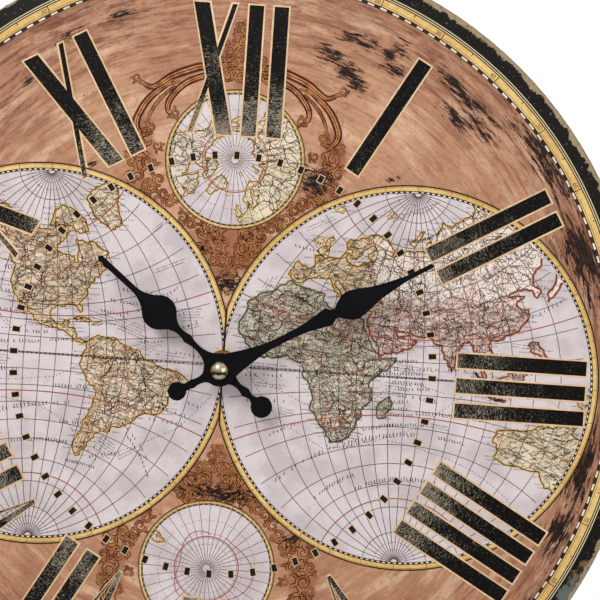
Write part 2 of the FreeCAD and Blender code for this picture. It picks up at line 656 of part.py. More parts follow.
def cannon_pinion():
    teeth = pinion(CANNON_TEETH, minute_wheel_module, cannon_y, SHAFT, 0)
    return teeth.cut(rod(minute_arbor_radius, cannon_y[0] - CUT_OVERRUN, cannon_y[1] + CUT_OVERRUN))


def clutch_spring():
    return ring(CLUTCH_SPRING_RADIUS, minute_arbor_radius, clutch_y[0], clutch_y[1])


def bored(shape, radius, y_range, at):
    return shape.cut(rod(radius, y_range[0] - CUT_OVERRUN, y_range[1] + CUT_OVERRUN, at))


def center_wheel():
    hub_radius = CLUTCH_SPRING_RADIUS
    teeth = spoked_wheel(CENTER_WHEEL_TEETH, center_wheel_module, center_wheel_y, SHAFT, 0, hub_radius)
    return bored(teeth, minute_arbor_radius + RUNNING_CLEARANCE, center_wheel_y, SHAFT)


minute_wheel_phase = meshing(CANNON_TEETH, 0, SHAFT, MINUTE_WHEEL_TEETH, minute_wheel_at)
hour_pinion_phase = meshing(HOUR_WHEEL_TEETH, 0, SHAFT, HOUR_PINION_TEETH, minute_wheel_at)
knob_phase = meshing(MINUTE_WHEEL_TEETH, minute_wheel_phase, minute_wheel_at, KNOB_TEETH, knob_at)
third_pinion_phase = meshing(CENTER_WHEEL_TEETH, 0, SHAFT, THIRD_PINION_TEETH, third_at)
third_wheel_phase = meshing(FOURTH_PINION_TEETH, 0, SHAFT, THIRD_WHEEL_TEETH, third_at)
intermediate_pinion_phase = meshing(FOURTH_WHEEL_TEETH, 0, SHAFT, INTERMEDIATE_PINION_TEETH, intermediate_at)
rotor_phase = meshing(INTERMEDIATE_WHEEL_TEETH, 0, intermediate_at, ROTOR_TEETH, rotor_at)


def hour_wheel():
    """The hour wheel and its tube, which carries the hour hand in front of the bush."""
    teeth = spoked_wheel(HOUR_WHEEL_TEETH, hour_module, hour_wheel_y, SHAFT, 0, hour_tube_outer)
    tube = rod(hour_tube_outer, hour_hand_front_y, hour_wheel_y[1])
    shape = joined([teeth, tube])
    return bored(shape, hour_tube_inner, (hour_hand_front_y, hour_wheel_y[1]), SHAFT)


def minute_wheel():
    """The wheel and pinion of the motion work, on a stud of the case."""
    teeth = spoked_wheel(
        MINUTE_WHEEL_TEETH,
        minute_wheel_module,
        minute_wheel_y,
        minute_wheel_at,
        minute_wheel_phase,
        STUD_RADIUS,
    )
    pinion_y = (hour_wheel_y[0] - END_SHAKE, minute_wheel_y[0])
    leaves = pinion(HOUR_PINION_TEETH, hour_module, pinion_y, minute_wheel_at, hour_pinion_phase)
    shape = joined([teeth, leaves])
    return bored(shape, STUD_RADIUS + PIVOT_CLEARANCE, (pinion_y[0], plate_front_y), minute_wheel_at)


def knob_rim():
    """The knob's grip: a disc with notches round its edge."""
    disc = rod(KNOB_RADIUS, knob_front_y, knob_rear_y, knob_at)
    cuts = []
    for index in range(KNOB_NOTCHES):
        place = polar(KNOB_RADIUS, 2 * math.pi * index / KNOB_NOTCHES, knob_at)
        cuts.append(rod(KNOB_NOTCH_RADIUS, knob_front_y - CUT_OVERRUN, knob_rear_y + CUT_OVERRUN, place))
    dish_front_y = knob_rear_y - KNOB_DISH_DEPTH
    dish = rod(KNOB_RADIUS - KNOB_RIM_WIDTH, dish_front_y, knob_rear_y + CUT_OVERRUN, knob_at)
    return disc.cut(cuts + [dish])


def setting_knob():
    pinion_y = (minute_wheel_y[0] - END_SHAKE, minute_wheel_y[1] + END_SHAKE)
    leaves = pinion(KNOB_TEETH, minute_wheel_module, pinion_y, knob_at, knob_phase)
    pivot = rod(KNOB_PIVOT_RADIUS, inner_front_y + END_SHAKE, pinion_y[0], knob_at)
    shaft = rod(KNOB_SHAFT_RADIUS, pinion_y[1], knob_front_y, knob_at)
    return joined([knob_rim(), shaft, leaves, pivot])


def wheel_with_arbor(shapes, at, y_front, y_rear, radius):
    return joined(shapes + [rod(radius, y_front, y_rear, at)])


def fourth_wheel():
    """The seconds wheel: its thin arbor runs through the hollow minute arbor to the cap nut."""
    hub_radius = SECONDS_ARBOR_RADIUS
    teeth = spoked_wheel(FOURTH_WHEEL_TEETH, fourth_wheel_module, fourth_wheel_y, SHAFT, 0, hub_radius)
    pinion_y = (third_wheel_y[0], fourth_wheel_y[0])
    leaves = pinion(FOURTH_PINION_TEETH, third_module, pinion_y, SHAFT, 0)
    arbor_front_y = minute_hand_front_y - MINUTE_THREAD_LENGTH / 2
    return wheel_with_arbor([teeth, leaves], SHAFT, arbor_front_y, bridge_rear_y, SECONDS_ARBOR_RADIUS)


def third_wheel():
    phase = third_wheel_phase
    teeth = spoked_wheel(THIRD_WHEEL_TEETH, third_module, third_wheel_y, third_at, phase, ARBOR_RADIUS)
    pinion_y = (center_wheel_y[0] - END_SHAKE, third_wheel_y[0])
    leaves = pinion(THIRD_PINION_TEETH, center_wheel_module, pinion_y, third_at, third_pinion_phase)
    return wheel_with_arbor([teeth, leaves], third_at, plate_front_y, bridge_rear_y, ARBOR_RADIUS)


def intermediate_wheel():
    teeth = spoked_wheel(
        INTERMEDIATE_WHEEL_TEETH,
        intermediate_wheel_module,
        intermediate_wheel_y,
        intermediate_at,
        0,
        ARBOR_RADIUS,
    )
    pinion_y = (fourth_wheel_y[0] - END_SHAKE, intermediate_wheel_y[0])
    leaves = pinion(
        INTERMEDIATE_PINION_TEETH, fourth_wheel_module, pinion_y, intermediate_at, intermediate_pinion_phase
    )
    return wheel_with_arbor([teeth, leaves], intermediate_at, plate_front_y, bridge_rear_y, ARBOR_RADIUS)


def rotor_pinion():
    """The rotor's leaves and arbor; the magnet is pressed on the arbor."""
    leaves = pinion(ROTOR_TEETH, intermediate_wheel_module, rotor_pinion_y, rotor_at, rotor_phase)
    return wheel_with_arbor([leaves], rotor_at, plate_front_y, bridge_rear_y, ARBOR_RADIUS)


def rotor_magnet():
    y_rear = intermediate_wheel_y[0] - WHEEL_GAP
    return ring(MAGNET_RADIUS, ARBOR_RADIUS, y_rear - MAGNET_LENGTH, y_rear, rotor_at)


circuit_low_z = divider_top_z + CIRCUIT_EDGE_GAP
pillar_places = (
    (-inner_half + PILLAR_INSET, 0.0),
    (-inner_half + PILLAR_INSET, motion_distance),
    (stator_right_x + PILLAR_STATOR_GAP + PILLAR_RADIUS, rotor_at[1]),
    (third_at[0] + third_distance * PILLAR_REACH_SHARE, circuit_low_z + PILLAR_STRIP_HEIGHT),
)
boss_places = (
    (-inner_half + BOSS_RADIUS, divider_top_z + BOSS_RADIUS),
    (inner_half - BOSS_RADIUS, divider_top_z + BOSS_RADIUS),
    (-inner_half + BOSS_RADIUS, inner_half - BOSS_RADIUS * 2),
    (inner_half - BOSS_RADIUS, inner_half - BOSS_RADIUS * 2),
)
stator_post_places = (
    (stator_left_x + STATOR_LEG_WIDTH / 2, core_z),
    (stator_right_x - STATOR_LEG_WIDTH / 2, core_z),
)


def train_plate():
    """The plate between the motion work and the train, with the pillars that carry the bridge and circuit."""
    edge = COVER_LIP_CLEARANCE
    plate = rounded_block(
        (-inner_half + edge, inner_half - edge),
        (plate_front_y, plate_rear_y),
        (divider_top_z + edge, inner_half - edge),
        CASE_CORNER_RADIUS - CASE_WALL,
    )
    solids = [plate]
    for at in pillar_places:
        solids.append(rod(PILLAR_RADIUS, plate_rear_y, circuit_y[0], at))
        solids.append(rod(PILLAR_SHOULDER_RADIUS, circuit_y[0], bridge_front_y, at))
        solids.append(rod(PILLAR_PEG_RADIUS, bridge_front_y, bridge_rear_y, at))
    for at in stator_post_places:
        solids.append(rod(PILLAR_RADIUS, plate_rear_y, stator_y[0], at))
        solids.append(rod(STATOR_PEG_RADIUS, stator_y[0], core_y[1], at))
    plate = joined(solids)
    front = plate_front_y - CUT_OVERRUN
    rear = plate_rear_y + CUT_OVERRUN
    holes = [
        rod(minute_arbor_radius + PIVOT_CLEARANCE, front, rear),
        rod(KNOB_SHAFT_RADIUS + PEG_CLEARANCE, front, rear, knob_at),
    ]
    return plate.cut(holes + arbor_holes(front, rear))


def arbor_holes(front, rear):
    """The pivot holes of the arbors that run from the plate to the bridge."""
    places = (third_at, intermediate_at, rotor_at)
    return [rod(ARBOR_RADIUS + PIVOT_CLEARANCE, front, rear, at) for at in places]


def train_bridge():
    """The rear plate with the rear pivots of the train."""
    margin = PILLAR_RADIUS + BRIDGE_MARGIN
    left, upper_left, upper_right, lower_right = pillar_places
    outline = (
        (left[0] - margin, left[1] - margin),
        (upper_left[0] - margin, upper_left[1] + margin),
        (rotor_at[0] - margin, rotor_at[1] + margin),
        (upper_right[0] + margin, upper_right[1] + margin),
        (lower_right[0] + margin, lower_right[1] - margin),
        (lower_right[0] - margin, lower_right[1] - margin),
        (SHAFT[0] + margin, left[1] - margin),
    )
    plate = slab(outline, bridge_front_y, bridge_rear_y)
    front = bridge_front_y - CUT_OVERRUN
    rear = bridge_rear_y + CUT_OVERRUN
    holes = [rod(PILLAR_PEG_RADIUS + PIVOT_CLEARANCE, front, rear, at) for at in pillar_places]
    holes += arbor_holes(front, rear)
    holes.append(rod(SECONDS_ARBOR_RADIUS + PIVOT_CLEARANCE, front, rear))
    holes.append(rod(KNOB_SHAFT_RADIUS + KNOB_HOLE_CLEARANCE, front, rear, knob_at))
    return plate.cut(holes)


def case_front():
    """The movement's tray: walls, battery bay, bosses for the plate, the stud and the knob's socket."""
    outer = rounded_block(
        (-case_half, case_half), (case_front_y, case_rear_y), (-case_half, case_half), CASE_CORNER_RADIUS
    )
    inside = rounded_block(
        (-inner_half, inner_half),
        (case_front_y + CASE_WALL, case_rear_y + CUT_OVERRUN),
        (-inner_half, inner_half),
        CASE_CORNER_RADIUS - CASE_WALL,
    )
    whole_x = (-case_half, case_half)
    rear_y = case_rear_y + CUT_OVERRUN
    gear_space = inside.common(block(whole_x, (inner_front_y, rear_y), (divider_top_z, case_half)))
    bay = inside.common(block(whole_x, (case_front_y, rear_y), (-case_half, divider_low_z)))
    cover_seat = block(
        (-case_half - CUT_OVERRUN, case_half + CUT_OVERRUN),
        (cover_front_y, case_rear_y + CUT_OVERRUN),
        (divider_low_z, case_half + CUT_OVERRUN),
    )
    tray = outer.cut([gear_space, bay, cover_seat] + contact_slots() + [thumb_notch()])
    additions = [rod(BOSS_RADIUS, inner_front_y, plate_front_y, at) for at in boss_places]
    additions.append(rod(STUD_RADIUS, inner_front_y, plate_front_y, minute_wheel_at))
    stud_foot_rear_y = hour_wheel_y[0] - END_SHAKE - WHEEL_GAP
    additions.append(rod(STUD_RADIUS + HUB_WALL, inner_front_y, stud_foot_rear_y, minute_wheel_at))
    socket_radius = KNOB_PIVOT_RADIUS + KNOB_SOCKET_WALL
    additions.append(rod(socket_radius, inner_front_y, inner_front_y + KNOB_SOCKET_HEIGHT, knob_at))
    tray = joined([tray] + additions)
    socket_bore = rod(KNOB_PIVOT_RADIUS + PIVOT_CLEARANCE, inner_front_y, plate_front_y, knob_at)
    bush_hole = rod(bush_radius, case_front_y - CUT_OVERRUN, inner_front_y + CUT_OVERRUN)
    return tray.cut([socket_bore, bush_hole])


def contact_slots():
    """Notches at both ends of the divider that let the contacts pass to the circuit."""
    slots = []
    depth = CONTACT_WALL_GAP * 2 + CONTACT_THICKNESS
    y_range = (circuit_y[1] - CONTACT_TAB_WIDTH - CONTACT_WALL_GAP, case_rear_y + CUT_OVERRUN)
    z_range = (divider_low_z, divider_top_z)
    for side in (-1, 1):
        ends = sorted((side * inner_half, side * (inner_half - depth)))
        slots.append(block(ends, y_range, z_range))
    return slots


def thumb_notch():
    """The notch in the bottom wall through which the battery is pushed out."""
    return rounded_notch(
        (-THUMB_NOTCH_WIDTH / 2, THUMB_NOTCH_WIDTH / 2),
        (case_rear_y - THUMB_NOTCH_DEPTH, case_rear_y + THUMB_NOTCH_RADIUS * 2),
        (-case_half - CUT_OVERRUN, -inner_half + CUT_OVERRUN),
    )


def rounded_notch(x_range, y_range, z_range):
    shape = block(x_range, y_range, z_range)
    edges = []
    for edge in shape.Edges:
        direction = edge.tangentAt(edge.FirstParameter)
        if abs(direction.z) > abs(direction.x) + abs(direction.y):
            edges.append(edge)
    return shape.makeFillet(THUMB_NOTCH_RADIUS, edges)


def case_back():
    """The cover of the gear space, with a lip inside the walls and a well round the knob."""
    cover = rounded_block(
        (-case_half, case_half),
        (cover_front_y, case_rear_y),
        (-case_half, case_half),
        CASE_CORNER_RADIUS,
    )
    below = block(
        (-case_half - CUT_OVERRUN, case_half + CUT_OVERRUN),
        (cover_front_y - CUT_OVERRUN, case_rear_y + CUT_OVERRUN),
        (-case_half - CUT_OVERRUN, divider_low_z),
    )
    cover = cover.cut(below)
    lip_half = inner_half - COVER_LIP_CLEARANCE
    lip_low_z = divider_top_z + COVER_LIP_CLEARANCE
    lip_y = (cover_front_y - COVER_LIP_HEIGHT, cover_front_y)
    lip_round = CASE_CORNER_RADIUS - CASE_WALL
    lip = rounded_block((-lip_half, lip_half), lip_y, (lip_low_z, lip_half), lip_round)
    hollow = rounded_block(
        (-lip_half + COVER_LIP_THICKNESS, lip_half - COVER_LIP_THICKNESS),
        (lip_y[0] - CUT_OVERRUN, lip_y[1]),
        (lip_low_z + COVER_LIP_THICKNESS, lip_half - COVER_LIP_THICKNESS),
        lip_round - COVER_LIP_THICKNESS / 2,
    )
    well_radius = KNOB_RADIUS + WELL_GAP
    well = rod(well_radius + WELL_WALL, well_rear_y - WELL_WALL, cover_front_y, knob_at)
    cover = joined([cover, lip.cut(hollow), well])
    space = rod(well_radius, well_rear_y, case_rear_y + CUT_OVERRUN, knob_at)
    neck = rod(KNOB_SHAFT_RADIUS + PEG_CLEARANCE, well_rear_y - WELL_WALL - CUT_OVERRUN, case_rear_y, knob_at)
    return cover.cut([space, neck])


def stator():
    """A flat C of iron: the bar round the magnet and a leg at each end that meets the coil's core."""
    half_bar = STATOR_BAR_WIDTH / 2
    low = rotor_at[1] - half_bar
    high = rotor_at[1] + half_bar
    top = core_z + CORE_WIDTH
    left = stator_left_x
    right = stator_right_x
    outline = (
        (left, low),
        (right, low),
        (right, top),
        (right - STATOR_LEG_WIDTH, top),
        (right - STATOR_LEG_WIDTH, high),
        (left + STATOR_LEG_WIDTH, high),
        (left + STATOR_LEG_WIDTH, top),
        (left, top),
    )
    plate = bored(slab(outline, stator_y[0], stator_y[1]), MAGNET_RADIUS + STATOR_AIR_GAP, stator_y, rotor_at)
    return plate.cut(peg_holes(stator_y))


def peg_holes(y_range):
    front = y_range[0] - CUT_OVERRUN
    rear = y_range[1] + CUT_OVERRUN
    return [rod(STATOR_PEG_RADIUS + PIVOT_CLEARANCE, front, rear, at) for at in stator_post_places]


def coil_core():
    bar = block((stator_left_x, stator_right_x), core_y, (core_z - CORE_WIDTH / 2, core_z + CORE_WIDTH / 2))
    return bar.cut(peg_holes(core_y))


coil_y = (core_y[0] + core_y[1]) / 2
bobbin_left_x = stator_left_x + STATOR_LEG_WIDTH + WHEEL_GAP
bobbin_right_x = stator_right_x - STATOR_LEG_WIDTH - WHEEL_GAP
bobbin_tube_radius = CORE_WIDTH / 2 + BOBBIN_TUBE_WALL


def rod_x(radius, x_low, x_high, y, z):
    return Part.makeCylinder(radius, x_high - x_low, Vector(x_low, y, z), Vector(1, 0, 0))


def coil_bobbin():
    tube = rod_x(bobbin_tube_radius, bobbin_left_x, bobbin_right_x, coil_y, core_z)
    left_face_x = bobbin_left_x + BOBBIN_FLANGE_THICKNESS
    right_face_x = bobbin_right_x - BOBBIN_FLANGE_THICKNESS
    left = rod_x(BOBBIN_FLANGE_RADIUS, bobbin_left_x, left_face_x, coil_y, core_z)
    right = rod_x(BOBBIN_FLANGE_RADIUS, right_face_x, bobbin_right_x, coil_y, core_z)
    return joined([tube, left, right]).cut(coil_core())


def coil_winding():
    x_low = bobbin_left_x + BOBBIN_FLANGE_THICKNESS
    x_high = bobbin_right_x - BOBBIN_FLANGE_THICKNESS
    outer = rod_x(WINDING_RADIUS, x_low, x_high, coil_y, core_z)
    return outer.cut(rod_x(bobbin_tube_radius, x_low - CUT_OVERRUN, x_high + CUT_OVERRUN, coil_y, core_z))


circuit_right_x = inner_half - CONTACT_WALL_GAP - CONTACT_THICKNESS - CIRCUIT_EDGE_GAP
circuit_column_height = inner_half - CIRCUIT_TOP_GAP - circuit_low_z
circuit_column_x = circuit_right_x - CIRCUIT_COLUMN_WIDTH


def circuit_board():
    """An L-shaped board: a strip along the battery and a column on the right, held on the pillars."""
    strip_top = circuit_low_z + CIRCUIT_STRIP_HEIGHT
    column_top = circuit_low_z + circuit_column_height
    outline = (
        (-circuit_right_x, circuit_low_z),
        (circuit_right_x, circuit_low_z),
        (circuit_right_x, column_top),
        (circuit_column_x, column_top),
        (circuit_column_x, strip_top),
        (-circuit_right_x, strip_top),
    )
    board = slab(outline, circuit_y[0], circuit_y[1])
    return bored(board, PILLAR_SHOULDER_RADIUS + PEG_CLEARANCE, circuit_y, pillar_places[-1])


def chip_blob():
    """A shallow dome of resin over the chip."""
    at_x = circuit_right_x - CIRCUIT_COLUMN_WIDTH / 2
    at_z = circuit_low_z + circuit_column_height * 2 / 3
    ball_radius = (CHIP_RADIUS * CHIP_RADIUS + CHIP_HEIGHT * CHIP_HEIGHT) / 2 / CHIP_HEIGHT
    ball = Part.makeSphere(ball_radius, Vector(at_x, circuit_y[1] + CHIP_HEIGHT - ball_radius, at_z))
    return ball.common(rod(CHIP_RADIUS, circuit_y[1], circuit_y[1] + CHIP_HEIGHT, (at_x, at_z)))


def quartz_crystal():
    at_x = circuit_right_x - CIRCUIT_COLUMN_WIDTH / 2 - CRYSTAL_LENGTH / 2
    at_z = circuit_low_z + circuit_column_height * 2 / 5
    return rod_x(CRYSTAL_RADIUS, at_x, at_x + CRYSTAL_LENGTH, circuit_y[1] + CRYSTAL_RADIUS, at_z)


def contact(side):
    """A bent strip: an upright at the bay's end and a tab that lies on the circuit."""
    outer_x = inner_half - CONTACT_WALL_GAP
    inner_x = outer_x - CONTACT_THICKNESS
    tab_top_z = circuit_low_z + CONTACT_TAB_WIDTH
    tab_y = (circuit_y[1], circuit_y[1] + CONTACT_THICKNESS)
    plate_y = (cell_y - CONTACT_WIDTH / 2, cell_y + CONTACT_WIDTH / 2)
    solids = [
        block((inner_x, outer_x), plate_y, (cell_z - CONTACT_WIDTH / 2, divider_low_z)),
        block((inner_x, outer_x), (tab_y[0] - CONTACT_TAB_WIDTH, tab_y[1]), (cell_z, tab_top_z)),
        block((outer_x - CONTACT_TAB_LENGTH, outer_x), tab_y, (circuit_low_z, tab_top_z)),
    ]
    shape = joined(solids)
    if side < 0:
        shape = shape.mirror(Vector(0, 0, 0), Vector(1, 0, 0))
    return shape


def contact_positive():
    return contact(1)


def contact_negative():
    """The same strip at the left end, with a bowed tongue that presses on the battery's base."""
    face_x = -inner_half + CONTACT_WALL_GAP + CONTACT_THICKNESS
    touch_x = cell_base_x - CONTACT_TOUCH_GAP
    y_front = cell_y - SPRING_TONGUE_WIDTH / 2
    low = Vector(face_x, y_front, cell_z - CONTACT_WIDTH / 2)
    high = Vector(face_x, y_front, cell_z + CONTACT_WIDTH / 2)
    outer_bow = Part.Arc(low, Vector(touch_x, y_front, cell_z), high).toShape()
    inner_low = Vector(face_x, y_front, cell_z - CONTACT_WIDTH / 2 + CONTACT_THICKNESS * 2)
    inner_high = Vector(face_x, y_front, cell_z + CONTACT_WIDTH / 2 - CONTACT_THICKNESS * 2)
    inner_middle = Vector(touch_x - CONTACT_THICKNESS, y_front, cell_z)
    inner_bow = Part.Arc(inner_low, inner_middle, inner_high).toShape()
    edges = [outer_bow, inner_bow, line(low, inner_low), line(high, inner_high)]
    face = Part.Face(Part.Wire(Part.__sortEdges__(edges)))
    tongue = face.extrude(Vector(0, SPRING_TONGUE_WIDTH, 0))
    return joined([contact(-1), tongue])


def battery():
    body = rod_x(CELL_RADIUS, cell_base_x, shoulder_x, cell_y, cell_z)
    ends = [edge for edge in body.Edges if edge.Closed and edge.Length > CELL_RADIUS]
    return body.makeFillet(CELL_EDGE_ROUND, ends)


def battery_cap():
    return rod_x(NUB_RADIUS, shoulder_x, shoulder_x + NUB_LENGTH, cell_y, cell_z)


SUBPARTS = (
    dial_board,
    dial_print,
    rubber_washer,
    nut_washer,
    mounting_nut,
    threaded_bush,
    hanger_plate,
    hour_hand,
    hour_collet,
    minute_hand,
    minute_collet,
    cap_nut,
    minute_arbor,
    cannon_pinion,
    clutch_spring,
    center_wheel,
    hour_wheel,
    minute_wheel,
    setting_knob,
    fourth_wheel,
    third_wheel,
    intermediate_wheel,
    rotor_pinion,
    rotor_magnet,
    train_plate,
    train_bridge,
    case_front,
    case_back,
    stator,
    coil_core,
    coil_bobbin,
    coil_winding,
    circuit_board,
    chip_blob,
    quartz_crystal,
    contact_positive,
    contact_negative,
    battery,
    battery_cap,
)


def main():
    os.makedirs("parts", exist_ok=True)
    for make in SUBPARTS:
        shape = make()
        shape.translate(Vector(0, 0, -hanger_drop))
        shape.exportStep("parts/" + make.__name__ + ".step")


main()
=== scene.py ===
import math
import random

import bmesh
import bpy
from mathutils import Matrix, Vector


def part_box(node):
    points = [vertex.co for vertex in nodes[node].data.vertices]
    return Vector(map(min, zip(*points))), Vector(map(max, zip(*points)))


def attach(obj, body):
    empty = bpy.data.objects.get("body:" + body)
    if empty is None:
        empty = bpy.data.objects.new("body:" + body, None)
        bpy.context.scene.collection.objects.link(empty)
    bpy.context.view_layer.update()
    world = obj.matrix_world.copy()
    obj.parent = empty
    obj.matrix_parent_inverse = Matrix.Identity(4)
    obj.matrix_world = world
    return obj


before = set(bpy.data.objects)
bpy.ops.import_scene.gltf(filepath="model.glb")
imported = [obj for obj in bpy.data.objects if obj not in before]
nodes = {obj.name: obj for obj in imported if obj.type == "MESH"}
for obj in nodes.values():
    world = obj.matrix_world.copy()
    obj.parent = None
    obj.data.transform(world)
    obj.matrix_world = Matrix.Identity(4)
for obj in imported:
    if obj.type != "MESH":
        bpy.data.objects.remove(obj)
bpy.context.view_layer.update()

# The printed face, from the frame; artwork is drawn in millimetres from its middle, right and up
MM = 0.001
DIAL_MIDDLE = (0.0, 0.0)
print_low, print_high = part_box("dial_print")
DIAL_X = (print_low.x + print_high.x) / 2
DIAL_Z = (print_low.z + print_high.z) / 2
DIAL_FACE = print_low.y

# Rim, from the outside in
BLACK_BAND_INNER = 162.8
FINE_LINES = (161.4, 162.3)
GOLD_OUTER = 160.9
GOLD_INNER = 157.7
DASH_INNER = 156.4
RIM_PAPER_START = 167.4
FIGURE_SIZE = 2.4

# Numerals and minute marks
NUMERAL_INNER = 93.5
NUMERAL_OUTER = 146.3
BAR_WIDTH = 5.8
BAR_PITCH = 10.1
FOUR_PITCH = 9.4
HAIRLINE_WIDTH = 1.9
OUTLINE_WIDTH = 0.7
LETTER_SPAN = 13.5
LETTER_LEAN = 12.3
# From a wide letter to the bar beside it
LETTER_TO_BAR = {"X": 8.7, "V": 6.6}
MINUTE_RADIUS = 84.5
MINUTE_LENGTH = 2.98
MINUTE_WIDTH = 2.06
MINUTE_OUTLINE = 0.3
POINT_SHARE = 0.25
NUMERALS = {
    1: "I", 2: "II", 3: "III", 4: "IIII", 5: "V", 6: "VI",
    7: "VII", 8: "VIII", 9: "IX", 10: "X", 11: "XI", 12: "XII",
}
# How each numeral of the photograph lies: its shift clockwise, then the change of its outer and inner end
NUMERAL_FITS = {
    1: (0.0, 0.0, 0.0), 2: (2.0, 1.2, 0.4), 3: (2.1, 0.0, 0.8), 4: (0.7, -0.4, 1.4), 5: (-0.7, 0.0, 1.8),
    6: (-3.4, 0.0, 1.0), 7: (-4.0, 0.0, -1.1), 8: (-2.6, 0.0, -1.0), 9: (-2.0, 0.0, 0.0),
    10: (-1.5, 0.0, 0.0), 11: (-4.0, -1.3, -1.5), 12: (-2.0, -1.0, -0.9),
}

# Map discs: radii and offset of the hemispheres; middle and radius of the small maps
HEMISPHERE_OFFSET = 74.0
HEMISPHERE_RADIUS = 76.5
EAST_RADIUS = 77.2
BORDER_BAND = 2.0
BORDER_DASH = 0.75
# Borders get thinner on a disc with a radius below this
FULL_BORDER_RADIUS = 50
DASH_PERIOD = 1.7
INSET_DASH_PERIOD = 5.0
GRID_WIDTH = 0.27
RED_CIRCLE_WIDTH = 0.42
THIN_LINE = 0.16
# Longitudes in the middle of the hemispheres
EAST_MIDDLE = 70.0
WEST_MIDDLE = -110.0
NORTH_INSET = (-0.6, 82.8, 27.9)
SOUTH_INSET = (-1.2, -82.4, 27.2)
INSET_EDGE_LATITUDE = 45.0
INSET_TURN = -80.0
# How much of what lies outside a disc is left, and the most of it, in millimetres past the rim
SPILL = 0.02
SPILL_LIMIT = 0.9
# Half the gap between the hemispheres, and how far all marks stay from the shaft
SEAM = 0.12
SHAFT_HOLE = 4.6
# Coasts: degrees between added points and their shift, width of the ink, tint width by the land's size
COAST_STEP = 1.15
COAST_WOBBLE = 0.5
COAST_WIDTH = 0.4
TINT_SHARE = 0.13
# Rows of small marks, how many there are on land, and the empty north-east where few are kept
ROW_PITCH = 1.15
PORT_SPACING = 2.3
ENGRAVING_DENSITY = {"west": 0.6, "east": 0.82}
THIN_EAST_OF = 58.0
THIN_NORTH_OF = 31.0
THIN_SHARE = 0.38
# Tries for rivers and inland borders for each square millimetre round a land; the same for the marks
# and rivers of the small maps; and the width of the tint along the coasts
RIVER_DENSITY = 0.055
INLAND_BORDER_DENSITY = 0.03
INSET_ENGRAVING_DENSITY = 0.34
INSET_RIVER_DENSITY = 0.07
TINT_WIDTH = 1.05
INSET_TINT_WIDTH = 0.8

# How far east an old map draws places in the two halves: at a longitude, the degrees added
EAST_STRETCH = (
    (-20, 0), (0, 1), (12, 2.5), (45, 9.5), (60, 16), (78, 20), (112, 11), (122, 20), (200, 28),
)
WEST_STRETCH = (
    (-200, -8), (-125, -10), (-110, -11), (-95, -6), (-80, -4), (-60, -3), (-50, -0.5), (-35, 3.8),
    (200, 3.8),
)

# Scuffed patches from the photograph: right, up, length, width in millimetres and lean in degrees
SCUFFS = (
    (46, 134, 25, 9, -17), (35, 127, 24, 10, -25), (61, 131, 17, 10, 25), (43, 120, 21, 13, -40),
    (61, 123, 16, 7, -10), (91, 114, 59, 9, -40), (87, 105, 23, 9, -45), (97, 102, 27, 8, -50),
    (124, 91, 62, 15, -52), (143, 52, 59, 26, -68), (147, -33, 54, 15, 77), (140, -58, 38, 14, 68),
    (118, -100, 54, 12, 48), (-70, 128, 17, 6, 28), (-50, 138, 19, 5, 20), (-86, 109, 8, 4, 40),
    (63, 79, 7, 4, 0), (32, 77, 23, 16, -15), (0, 32.5, 24, 12, 0), (2, -52, 43, 10, -8),
    (33, -68, 12, 6, 0), (-58, 77, 8, 4, 30),
)
# How far scuffs reach round their patches, and the swirled marks that make them ragged
SCUFF_REACH = 0.40
SCUFF_LIMIT = 1.32
SCUFF_GAIN = 2.2
SCUFF_MARKS = (6.5, 1.15, 9.0, 0.76, 1.3)
# Patches as above: where the numerals are hardly worn, and where the rim is bare
UNWORN = (60, 104, 90, 40, 60)
BARE_RIM = (143, -86, 62, 15, 59)
# Half the width of the strip without ring curls, and the darker ground under the upper ornament
ORNAMENT_GAP = 5.0
ORNAMENT_SHADE = (
    (0, 46, 40, 30, 0), (34, 60, 44, 16, 48), (-34, 60, 44, 16, -48), (-39, 86, 30, 15, 90),
    (38, 86, 30, 15, 90), (0, 122, 34, 26, 0),
)
# The radius at which swirled marks have their stated length
STREAK_RADIUS = 130.0

# Layers of print in front of the sheet; strokes of one layer lie a hair apart so that none coincide
STROKE_LIFT = 0.0004
STROKE_LIFTS = 8
LEVELS = {
    "scroll": 0.008, "scroll_light": 0.013, "scroll_line": 0.018, "band": 0.023, "ocean": 0.028,
    "land": 0.036, "tint": 0.041, "engraving": 0.046, "engraving_line": 0.050, "grid": 0.054,
    "coast": 0.058, "route": 0.062, "border": 0.067, "border_ink": 0.071, "outline": 0.080,
    "numeral": 0.088, "hairline": 0.094,
}
